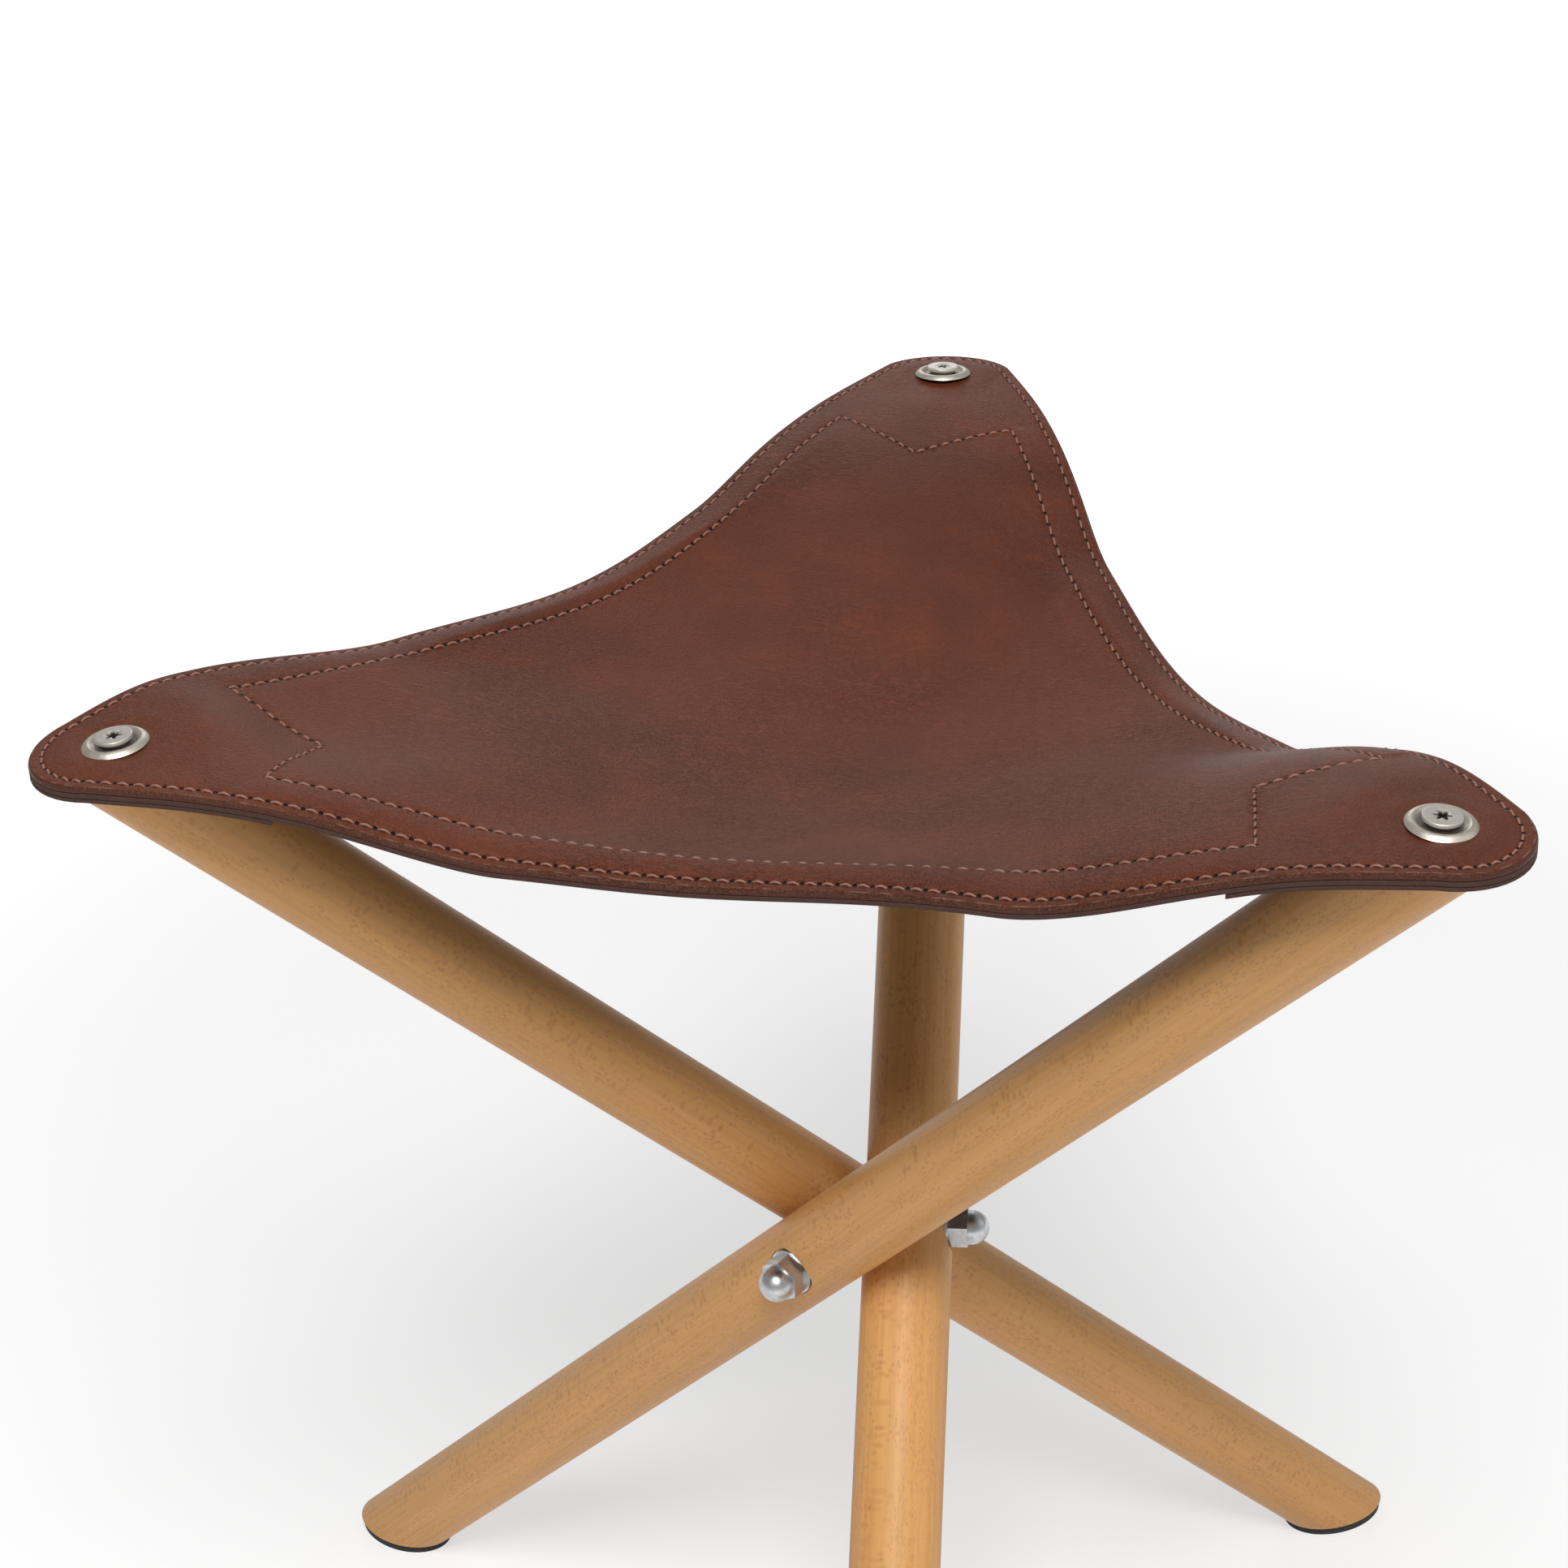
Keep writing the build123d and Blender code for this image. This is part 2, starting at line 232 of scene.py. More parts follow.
class StoolSewing(bpy.types.PropertyGroup):
    edge_row: length("Edge row", "From the cut to the outer row of stitches", 0.004)
    inner_row: length("Inner row", "From the cut to the inner row of stitches", 0.016)
    tab_reach: length("Tab reach", "Where the inner rows end, inwards of the screw", 0.0375)
    tab_point: length("Tab point", "Where the two tab rows meet, inwards of the screw", 0.0593)
    per_corner: whole("Stitches", "Stitches of the outer row in each third", 86)
    per_tab: whole("Tab stitches", "Stitches of one tab row", 8)
    thread_radius: length("Thread radius", "Half the thickness of the thread", 0.00042)
    arch: length("Stitch arch", "Height of each stitch over the leather", 0.00042)
    slant: length("Slant", "How far a stitch's ends lie to each side of the row", 0.00022)
    groove_depth: length("Groove depth", "How deep the thread pulls into the leather", 0.00045)
    groove_width: length("Groove width", "Width of the pulled groove", 0.0009)
    welt_height: length("Welt height", "Swell of the leather between two rows", 0.0006)
    hole_radius: length("Hole radius", "Radius of a needle hole", 0.00055)
    hole_pitch: length("Hole pitch", "Pitch of the needle holes, for the length of each", 0.005)
    stitch_share: number("Stitch share", "Length of a stitch over its pitch", 0.86)
    end_taper: number("End taper", "Thickness of a stitch's ends over its middle's", 0.62)
    end_sink: number("End sink", "How far a stitch's ends sink in, over its arch", 0.9)
    lip_height: length("Lip height", "Swell of the leather about a washer's rim", 0.0005)
    lip_radius: length("Lip radius", "From the screw to the swell about its washer", 0.0145)
    lip_width: length("Lip width", "Width of that swell", 0.0035)
    seat_rise: length("Seat rise", "How far the leather under a washer stands up to it", 0.0003)
    seat_fade: length("Seat fade", "Where that rise begins to fade, and over what width", 0.012)


class StoolFittings(bpy.types.PropertyGroup):
    rim_radius: length("Rim radius", "Outer radius of a dished washer", 0.0100)
    crest_radius: length("Crest radius", "Radius of the washer's highest ring", 0.0080)
    dish_radius: length("Dish radius", "Where the washer's dish reaches its floor", 0.0060)
    crest_height: length("Crest height", "From the washer's middle up to its crest", 0.0005)
    rim_drop: length("Rim drop", "From the washer's middle down to its rim", 0.0009)
    dish_drop: length("Dish drop", "From the washer's middle down to the dish's floor", 0.0006)
    head_radius: length("Head radius", "Radius of a screw's head", 0.0056)
    head_rise: length("Head rise", "From the washer's middle up to the head's face", 0.0019)
    head_thickness: length("Head thickness", "Height of the head's wall", 0.0012)
    head_round: length("Head round", "Radius of the head's upper edge", 0.00035)
    recess_radius: length("Recess radius", "Middle radius of the six-lobed recess", 0.0020)
    recess_wave: length("Recess wave", "How far each lobe reaches out of it", 0.00065)
    recess_depth: length("Recess depth", "Depth of the recess", 0.0015)
    shank_radius: length("Shank radius", "Radius of a screw's shank", 0.003)


class StoolColours(bpy.types.PropertyGroup):
    leather: colour("Leather", "Middle tone of the grain side", (0.146, 0.034, 0.011))
    leather_dark: colour("Leather dark", "Blotches of the grain side", (0.104, 0.022, 0.007))
    leather_warm: colour("Leather warm", "Pulled-up tone on tight leather", (0.183, 0.041, 0.012))
    edge: colour("Edge", "Burnished cut edge", (0.062, 0.019, 0.010))
    # Painted shade: the near-black colour painted into the needle holes.
    hole: colour("Holes", "Inside of the needle holes", (0.008, 0.004, 0.003))
    edge_light: colour("Edge light", "Fine crease along the burnished edge", (0.24, 0.13, 0.10))
    suede: colour("Flesh side", "Under face of the lining", (0.075, 0.032, 0.022))
    thread: colour("Thread", "Sewing thread", (0.37, 0.185, 0.140))
    beech: colour("Beech", "Ground tone of the oiled beech", (0.78, 0.395, 0.132))
    beech_dark: colour("Beech dark", "Rays seen end on and pores", (0.50, 0.212, 0.066))
    beech_ray: colour("Beech rays", "Patches of rays cut along", (0.61, 0.290, 0.098))
    beech_light: colour("Beech light", "Broad side of the rays", (0.86, 0.480, 0.190))
    steel: colour("Stainless", "Turned stainless steel", (0.62, 0.57, 0.49))
    screw: colour("Screws", "Blasted stainless steel of the screw heads", (0.66, 0.62, 0.56))
    # Painted shade: a near-black colour laid into the washers' dishes beside the screw heads and into the
    # heads' recesses.
    grime: colour("Grime", "Dirt in the recesses of screws and washers", (0.02, 0.015, 0.012))
    zinc: colour("Zinc", "Zinc plate of the hub", (0.56, 0.57, 0.58))
    rubber: colour("Rubber", "Foot pads", (0.018, 0.017, 0.016))
    plastic: colour("Plastic", "Spacers between the bolt and the legs", (0.02, 0.02, 0.02))
    floor: colour("Floor", "Studio floor as seen, on which the shadow falls", (0.46, 0.46, 0.46))
    floor_bounce: colour("Floor bounce", "Studio floor as it lights the stool", (0.86, 0.86, 0.86))


class StoolStudio(bpy.types.PropertyGroup):
    azimuth: angle("Azimuth", "Camera's turn", radians(13.099))
    elevation: angle("Elevation", "Camera's height as an angle", radians(27.335))
    roll: angle("Roll", "Camera's roll", radians(-2.619))
    aim: triple("Aim", "Point that the camera looks at", (-0.01397, -0.00774, 0.38645))
    distance: length("Distance", "From the camera to its aim", 1.01475)
    sensor: number("Sensor", "Sensor width in millimetres", 36)
    lens: number("Lens", "Focal length in millimetres", 74.53)
    key_place: triple("Key's place", "Middle of the front lamp", (0.3, -1.55, 2.75))
    key_size: length("Key's size", "Side of the front lamp", 1.1)
    key_power: number("Key", "Power of the front lamp in watts", 73.0)
    fill_place: triple("Fill's place", "Middle of the side lamp", (1.9, 0.1, 1.3))
    fill_size: length("Fill's size", "Side of the side lamp", 1.2)
    fill_power: number("Fill", "Power of the side lamp in watts", 4.0)
    rim_place: triple("Rim's place", "Middle of the back lamp", (-0.5, 2.1, 1.35))
    rim_size: length("Rim's size", "Side of the back lamp", 1.2)
    rim_power: number("Rim", "Power of the back lamp in watts", 7.0)
    lamp_aim: triple("Lamp aim", "Point that every lamp looks at", (0, 0, 0.38))
    surround: number("Surround", "Strength of the even light from all sides", 0.10)
    mirrored: number("Mirrored", "Strength of the surround in polished faces", 0.36)
    floor_size: length("Floor size", "Half the side of the floor", 12)
    floor_glow: number("Floor glow", "White added to the seen floor under the stool", 0.60)
    shadow_middle: triple("Shadow middle", "Middle of the shadow on the floor", (-0.05, 0.38, 0))
    glow_near: length("Glow near", "Where, off that middle, the floor's added white begins to grow", 0.30)
    glow_far: length("Glow far", "Where, off that middle, the seen floor is all white", 1.05)


# Meshes
def into_scene(name, data):
    """A new object in the scene."""
    made = bpy.data.objects.new(name, data)
    bpy.context.scene.collection.objects.link(made)
    return made


def into_mesh(bm, name):
    """A mesh from a bmesh, which isn't needed after it."""
    mesh = bpy.data.meshes.new(name)
    bm.to_mesh(mesh)
    bm.free()
    return mesh


def grid_places(bm, rows, columns):
    """Adds a grid to a bmesh and gives each point with its row and column."""
    bmesh.ops.create_grid(bm, x_segments=columns - 1, y_segments=rows - 1, size=1)
    for vert in bm.verts:
        yield vert, round((vert.co.y + 1) / 2 * (rows - 1)), round((vert.co.x + 1) / 2 * (columns - 1))


def join_points(bm, verts, distance):
    """Joins points that meet, and shades all faces smoothly."""
    bmesh.ops.remove_doubles(bm, verts=verts, dist=distance)
    for face in bm.faces:
        face.smooth = True


def make_piece(name, mesh, material):
    """A finished piece whose place is in its mesh."""
    piece = into_scene(name, mesh)
    mesh.materials.append(material)
    return piece


def smooth(value):
    """Eases from 0 to 1."""
    held = np.clip(value, 0.0, 1.0)
    return held * held * (3 - 2 * held)


def bump_of(value, width):
    """A rounded hump of height 1."""
    return np.exp(-((value / width) ** 2))


def middle_of(node):
    """The middle of a node's box."""
    low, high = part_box(node)
    return (low + high) / 2


class SeatForm:
    """The hanging seat over its plan, from the frame and the seat's sizes.

    The screws stand in an even triangle: reach runs from the seat's middle to a screw, half_side along
    half a side of the triangle, and across from a screw to the middle of the side past the middle."""

    def __init__(self):
        seat = bpy.context.scene.stool_seat
        self.seat = seat
        self.sewing = bpy.context.scene.stool_sewing
        self.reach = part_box("seat_leather")[1].y - seat.corner_radius
        self.half_side = sqrt(3) / 2 * self.reach
        self.across = 1.5 * self.reach
        self.level = middle_of("cup_washer_back").z - seat.washer_rise
        self.turns = {}
        for name in CORNERS:
            washer = middle_of("cup_washer_" + name)
            self.turns[name] = atan2(washer.y, washer.x)
        self.dips = dict(zip(CORNERS, seat.dips))
        self.asides = dict(zip(CORNERS, seat.asides))
        self.sags = dict(zip(SIDES, seat.sags))
        heights = (seat.wave_back_left, seat.wave_left_right, seat.wave_right_back)
        self.waves = dict(zip(SIDES, heights))

    def from_corner(self, name, x, y):
        """How far a plan point lies inwards of the named screw, and aside of its axis."""
        turn = self.turns[name]
        return self.reach - x * cos(turn) - y * sin(turn), y * cos(turn) - x * sin(turn)

    def height(self, x, y):
        """Height of the leather's upper face, without its stitching."""
        seat = self.seat
        places = {name: self.from_corner(name, x, y) for name in CORNERS}
        shares = {}
        for name, (inward, _) in places.items():
            shares[name] = np.maximum(1 - inward / self.across, 0)
        inner = MIDDLE_SCALE * shares["back"] * shares["left"] * shares["right"]
        loose = 1.0
        raised = 0.0
        for name, (inward, aside) in places.items():
            past = np.hypot(inward, aside) - seat.level_radius
            free = smooth(past / (seat.hang_radius - seat.level_radius))
            loose = loose * smooth(past / (seat.hang_radius + seat.inner_hang * inner - seat.level_radius))
            raised = raised + tan(seat.tab_tilt) * inward * (1 - free)
            ridge = bump_of(inward - seat.ridge_place, seat.ridge_width) * bump_of(aside, seat.ridge_span)
            raised = raised + seat.ridge_height * ridge
            dip = bump_of(inward - seat.dip_place, seat.dip_span)
            dip = dip * bump_of(aside - self.asides[name], seat.dip_span)
            raised = raised - self.dips[name] * dip * smooth(past / seat.dip_clear)
        drop = seat.middle_sag * inner
        for (here, there), sag in self.sags.items():
            drop = drop + SIDE_SCALE * sag * shares[here] * shares[there]
        return self.level + raised - drop * loose + self.side_waves(x, y)

    def side_waves(self, x, y):
        """Uneven lie of the three free sides."""
        total = 0.0
        for (here, _), heights in self.waves.items():
            turn = self.turns[here] + SIXTH_TURN
            outward = x * cos(turn) + y * sin(turn) - self.reach / 2
            along = (y * cos(turn) - x * sin(turn)) / (2 * self.half_side) + 0.5
            held = np.clip(along, 0, 1)
            fade = bump_of(self.seat.corner_radius - outward, self.seat.wave_reach)
            for order, height in enumerate(heights):
                total = total + height * np.sin((order + 1) * pi * held) * fade
        return total

    def outline(self, step, spare=0):
        """The cut of one third in its corner's own axes: plan points, inward directions, run.

        The run is measured from the corner's tip, and spare steps go on past both seams."""
        radius = self.seat.corner_radius
        around = max(int(radius * SIXTH_TURN / step), 4)
        turns = np.linspace(0, SIXTH_TURN, around, endpoint=False)
        steps = int(self.half_side / step)
        place = np.arange(steps + 1 + spare) * self.half_side / steps
        quarter = self.half_side / 2
        bow = (quarter**2 + (self.seat.side_curve / 2) ** 2) / self.seat.side_curve
        near = place < quarter
        from_end = np.where(near, place, self.half_side - place)
        fall = np.sqrt(bow**2 - from_end**2)
        offset = np.where(near, bow - fall, self.seat.side_curve - bow + fall)
        slope = from_end / fall
        out = np.array([cos(SIXTH_TURN), sin(SIXTH_TURN)])
        along = np.array([-sin(SIXTH_TURN), cos(SIXTH_TURN)])
        tip = np.array([self.reach, 0])
        side = tip + out * radius + np.outer(place, along) - np.outer(offset, out)
        side_in = -(out + np.outer(slope, along))
        side_in /= np.linalg.norm(side_in, axis=1)[:, None]
        curve_in = -np.stack([np.cos(turns), np.sin(turns)], axis=1)
        points = np.concatenate([tip - radius * curve_in, side])
        inwards = np.concatenate([curve_in, side_in])
        run = np.concatenate([radius * turns, radius * SIXTH_TURN + place])

        def both_sides(values, flip):
            return np.concatenate([(values * flip)[:0:-1], values])

        aside = np.array([1, -1])
        return both_sides(points, aside), both_sides(inwards, aside), both_sides(run, -1)

    def third_run(self):
        """Length of the cut that one third takes to each side of its tip."""
        return self.seat.corner_radius * SIXTH_TURN + self.half_side

    def row_end(self):
        """Run and plan place where an inner row meets the tab rows, in the corner's own axes."""
        points, inwards, run = self.outline(self.sewing.edge_row / 4)
        row = points + inwards * self.sewing.inner_row
        inward = self.reach - row[:, 0]
        place = np.argmax((run > self.seat.corner_radius) & (inward > self.sewing.tab_reach))
        return run[place], row[place]

    def into_world(self, name, plan):
        """Plan points from a corner's own axes into the frame."""
        turn = self.turns[name]
        return (
            plan[..., 0] * cos(turn) - plan[..., 1] * sin(turn),
            plan[..., 0] * sin(turn) + plan[..., 1] * cos(turn),
        )

    def points(self, name, plan, below):
        """Points in the frame that lie a distance below the upper face, over a corner's plan points."""
        x, y = self.into_world(name, plan)
        return np.stack([x, y, self.height(x, y) - below], axis=-1)

    def tab_row(self, plan):
        """Share along a tab row, and distance from it, in the corner's own axes."""
        end = np.array(self.row_end()[1])
        point = np.array([self.reach - self.sewing.tab_point, 0])
        line = end - point
        size = np.linalg.norm(line)
        line = line / size
        offset = np.stack([plan[..., 0], np.abs(plan[..., 1])], axis=-1) - point
        return offset @ line / size, offset @ np.array([line[1], -line[0]])

    def sewn(self, plan, inset, run):
        """What stitching and the washer add to the upper face, in the corner's own axes."""
        sewing = self.sewing
        groove = bump_of(inset - sewing.edge_row, sewing.groove_width)
        row_run = self.row_end()[0]
        beside = smooth((np.abs(run) - row_run) / sewing.edge_row + 0.5)
        groove = groove + beside * bump_of(inset - sewing.inner_row, sewing.groove_width)
        share, off = self.tab_row(plan)
        on_tab = smooth((0.5 - np.abs(share - 0.5)) * TAB_FADE + 0.5)
        groove = groove + on_tab * bump_of(off, sewing.groove_width)
        between = (inset - sewing.edge_row) / (sewing.inner_row - sewing.edge_row)
        welt = np.sin(pi * np.clip(between, 0, 1)) * beside
        washer = np.hypot(plan[..., 0] - self.reach, plan[..., 1])
        raised = sewing.seat_rise * (1 - smooth(washer / sewing.seat_fade - 1))
        raised = raised + sewing.lip_height * bump_of(washer - sewing.lip_radius, sewing.lip_width)
        return raised + sewing.welt_height * welt - sewing.groove_depth * np.minimum(groove, 1)


def round_steps(radius, steps=4):
    """Inset and depth of the points of a quarter round, from the face down to the wall."""
    turns = [pi / 2 * step / steps for step in range(steps + 1)]
    return [(radius * (1 - sin(turn)), radius * (1 - cos(turn))) for turn in turns]


def ply_profile(seat, thickness, upper_round, fine, fine_above):
    """Section of a ply as inset from the cut, share of the way out, and depth below its face."""
    rings = [tenth / 1e4 for tenth in FINE_RINGS if tenth / 1e4 > upper_round * ROUND_MARGIN]
    fine_face, coarse_face = (fine, rings), (COARSE_STEPS, COARSE_RINGS)
    top_count, top_rings = fine_face if fine_above else coarse_face
    low_count, low_rings = coarse_face if fine_above else fine_face
    profile = [(seat.band, step / top_count, 0.0) for step in range(top_count + 1)]
    profile += [(inset, 1.0, 0.0) for inset in reversed(top_rings)]
    profile += [(inset, 1.0, depth) for inset, depth in round_steps(upper_round)]
    lower = [(inset, 1.0, thickness - depth) for inset, depth in round_steps(seat.ply_round)]
    profile += reversed(lower)
    profile += [(inset, 1.0, thickness) for inset in low_rings]
    profile += [(seat.band, 1 - step / low_count, thickness) for step in range(low_count + 1)]
    return profile


def grid_mesh(name, points, normals, marks):
    """A shell over a grid of points, closed along its seams, shaded with the given normals."""
    rows, columns = points.shape[:2]
    bm = bmesh.new()
    shade = bm.verts.layers.float_vector.new("shade")
    grid_row = bm.verts.layers.int.new("grid_row")
    grid_column = bm.verts.layers.int.new("grid_column")
    layers = {key: bm.verts.layers.float_vector.new(key) for key in marks}
    for vert, row, column in grid_places(bm, rows, columns):
        vert[grid_row] = row
        vert[grid_column] = column
        vert[shade] = Vector(normals[row, column])
        for key, layer in layers.items():
            vert[layer] = Vector(marks[key][row, column])
        vert.co = Vector(points[row, column])
    poles = [vert for vert in bm.verts if vert[grid_row] in (0, rows - 1)]
    join_points(bm, poles, JOINED)
    for column in (0, columns - 1):
        seam = {vert[grid_row]: vert for vert in bm.verts if vert[grid_column] == column}
        for vert in bm.verts:
            if vert[grid_row] in (0, rows - 1):
                seam[vert[grid_row]] = vert
        bm.faces.new([seam[row] for row in sorted(seam)])
    bmesh.ops.recalc_face_normals(bm, faces=bm.faces)
    mesh = into_mesh(bm, name)
    shades = [item.vector.copy() for item in mesh.attributes["shade"].data]
    corner_normals = [None] * len(mesh.loops)
    for face in mesh.polygons:
        for corner in face.loop_indices:
            smooth_normal = shades[mesh.loops[corner].vertex_index]
            corner_normals[corner] = smooth_normal if face.use_smooth else face.normal
    mesh.normals_split_custom_set(corner_normals)
    for key in ("shade", "grid_row", "grid_column"):
        mesh.attributes.remove(mesh.attributes[key])
    return mesh


def ply_mesh(form, name, corner, below, profile, sewn):
    """One third of a ply, from seam to seam, its upper face a distance below the leather's."""
    plan, inwards, run = form.outline(PLY_STEP, spare=1)
    row_run = form.row_end()[0]
    sheets = {"points": [], "sewing": [], "tab": []}
    for inset, share, depth in profile:
        local = (plan + inwards * inset) * share
        points = form.points(corner, local, below + depth)
        from_cut = np.full_like(run, inset) + (1 - share) * form.reach
        if sewn and depth < form.seat.round_over / 2:
            points[:, 2] += form.sewn(local, from_cut, run)
        sheets["points"].append(points)
        phase = run / form.third_run() * form.sewing.per_corner / 2
        wall = 1 - inset / form.seat.round_over if depth > 0 and inset < form.seat.round_over else 0.0
        sheets["sewing"].append(np.stack([phase, from_cut, np.full_like(run, wall)], axis=-1))
        along, off = form.tab_row(local)
        beside = (np.abs(run) > row_run).astype(float)
        sheets["tab"].append(np.stack([along * form.sewing.per_tab, off, beside], axis=-1))
    points = np.array(sheets["points"])
    across = np.gradient(points, axis=1)
    outwards = np.gradient(points, axis=0)
    normals = np.cross(outwards, across)
    normals = normals / np.maximum(np.linalg.norm(normals, axis=2)[..., None], SHORTEST)
    near = form.seat.round_over
    slope_x = (form.height(near, 0.0) - form.height(-near, 0.0)) / (2 * near)
    slope_y = (form.height(0.0, near) - form.height(0.0, -near)) / (2 * near)
    upright = np.array([-slope_x, -slope_y, 1])
    upright /= np.linalg.norm(upright)
    normals[0] = upright
    normals[-1] = -upright
    kept = slice(1, -1)
    marks = {key: np.array(sheets[key])[:, kept] for key in ("sewing", "tab")}
    return grid_mesh(name, points[:, kept], normals[:, kept], marks)


def patch_mesh(form, name, corner):
    """A corner patch: from the cut to a pointed inner edge, all its edges slightly rounded."""
    seat = form.seat
    plan, _, run = form.outline(PATCH_STEP)
    inside = (form.reach - plan[:, 0]) <= seat.patch_reach
    plan, run = plan[inside], run[inside]
    outward = np.abs(run) / np.abs(run).max()
    point = np.array([form.reach - seat.patch_reach - seat.patch_point, 0])
    ends = np.where(run[:, None] < 0, plan[0], plan[-1])
    inner = point + (ends - point) * outward[:, None]
    across = inner - plan
    width = np.maximum(np.linalg.norm(across, axis=1), JOINED)[:, None]
    below = seat.leather + seat.lining + 2 * seat.glue_gap
    shares = [step / PATCH_ROWS for step in range(1, PATCH_ROWS)]
    edge = round_steps(seat.ply_round, 3)
    section = [("cut", inset, depth) for inset, depth in reversed(edge)]
    section += [("share", share, 0.0) for share in shares]
    section += [("point", inset, depth) for inset, depth in edge]
    section += [("point", inset, seat.patch - depth) for inset, depth in reversed(edge)]
    section += [("share", share, seat.patch) for share in reversed(shares)]
    section += [("cut", inset, seat.patch - depth) for inset, depth in edge]
    section.append(section[0])
    lines = []
    for kind, place, depth in section:
        if kind == "cut":
            local = plan + across * np.minimum(place / width, 0.5)
        elif kind == "point":
            local = inner - across * np.minimum(place / width, 0.5)
        else:
            local = plan + across * place
        lines.append(form.points(corner, local, below + depth))
    bm = bmesh.new()
    for vert, row, column in grid_places(bm, len(section), len(plan)):
        vert.co = Vector(lines[row][column])
    join_points(bm, bm.verts, 2 * JOINED)
    bmesh.ops.recalc_face_normals(bm, faces=bm.faces)
    return into_mesh(bm, name)


def spun_mesh(name, rings, matrix):
    """A round solid from rings of radius, height and lobe size, its ends closed to a point."""
    bm = bmesh.new()
    for vert, row, column in grid_places(bm, len(rings), SPUN_SIDES + 1):
        turn = 2 * pi * column / SPUN_SIDES
        radius, height, lobe = rings[row]
        reach = radius + lobe * cos(LOBES * turn)
        vert.co = Vector((reach * cos(turn), reach * sin(turn), height))
    join_points(bm, bm.verts, JOINED)
    bmesh.ops.recalc_face_normals(bm, faces=bm.faces)
    sharp = [edge for edge in bm.edges if edge.is_manifold and edge.calc_face_angle() > SHARP_ANGLE]
    for edge in sharp:
        edge.smooth = False
    bmesh.ops.transform(bm, matrix=matrix, verts=bm.verts)
    return into_mesh(bm, name)


def screw_matrix(corner):
    """Places a piece spun about Z on a screw's line, its zero at the washer's middle."""
    seat = bpy.context.scene.stool_seat
    middle = middle_of("cup_washer_" + corner)
    outwards = Vector((middle.x, middle.y, 0)).normalized()
    line = Vector((0, 0, 1)) * cos(seat.tab_tilt) + outwards * sin(seat.tab_tilt)
    return Matrix.Translation(middle) @ line.to_track_quat("Z", "Y").to_matrix().to_4x4()


def washer_rings(sizes):
    """Section of a dished washer, from under its inner edge over the crest to the rim."""
    rise = sizes.crest_height + sizes.dish_drop
    width = sizes.crest_radius - sizes.dish_radius
    inner = sizes.shank_radius
    floor = -sizes.dish_drop
    rings = [(inner, floor - rise / 2, 0), (inner, floor, 0)]
    for share in np.linspace(0, 1, DISH_STEPS + 1):
        rings.append((sizes.dish_radius + width * share, floor + rise * (1 - cos(pi * share)) / 2, 0))
    flange = sizes.rim_radius - sizes.crest_radius
    fall = sizes.crest_height + sizes.rim_drop
    for share in np.linspace(0, 1, FLANGE_STEPS + 1)[1:]:
        height = sizes.crest_height - fall * share**FLANGE_CURVE
        rings.append((sizes.crest_radius + flange * share, height, 0))
    rings.append((sizes.crest_radius, -sizes.rim_drop, 0))
    rings.append(rings[0])
    return rings


def screw_rings(sizes, length_below):
    """Section of a screw, from the floor of its recess over the head to the shank's end."""
    face, edge = sizes.head_rise, sizes.head_round
    radius, wave = sizes.recess_radius, sizes.recess_wave
    floor = face - sizes.recess_depth
    rings = [(0, floor, 0), (radius * RECESS_TAPER, floor, wave * RECESS_TAPER)]
    rings += [(radius, face - edge, wave), (radius + edge / 3, face - edge / 4, wave)]
    rings.append((radius + edge, face, wave))
    rings.append((radius + 3 * edge, face, wave / 3))
    rings.append((sizes.head_radius - 2 * edge, face, 0))
    rings += [(sizes.head_radius - inset, face - depth, 0) for inset, depth in round_steps(edge)]
    under = face - sizes.head_thickness
    rings += [(sizes.head_radius, under + edge / 2, 0), (sizes.head_radius - edge / 2, under, 0)]
    rings.append((sizes.shank_radius * NECK_SHARE, -sizes.dish_drop, 0))
    rings += [(sizes.shank_radius, -length_below, 0), (0, -length_below, 0)]
    return rings


def spun_piece(kind, node, corner, matrix, rings, look):
    """A spun steel piece on a screw's line, which stands for a node and rides on the leg."""
    name = kind + corner
    piece = make_piece(name, spun_mesh(name, rings, matrix), turned_steel(name, matrix, *look))
    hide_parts(node + corner)
    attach(piece, corner + "_leg")


def declare_cut(form, side, point):
    """Works out the plan points of one third's flat cut, and keeps nothing of them.

    Side, how far in the edge goes, and point, a point further in, both measured inwards from the corner's
    screw, are not used."""
    plan, _, _ = form.outline(FLAT_STEP)


def follow_leg(form, piece, corner):
    """Bakes a piece's place into its mesh; the line to the leg under its corner is worked out but not used.
    """
    turn = form.turns[corner]
    axis = Vector((cos(turn), sin(turn), 0))
    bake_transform(piece)


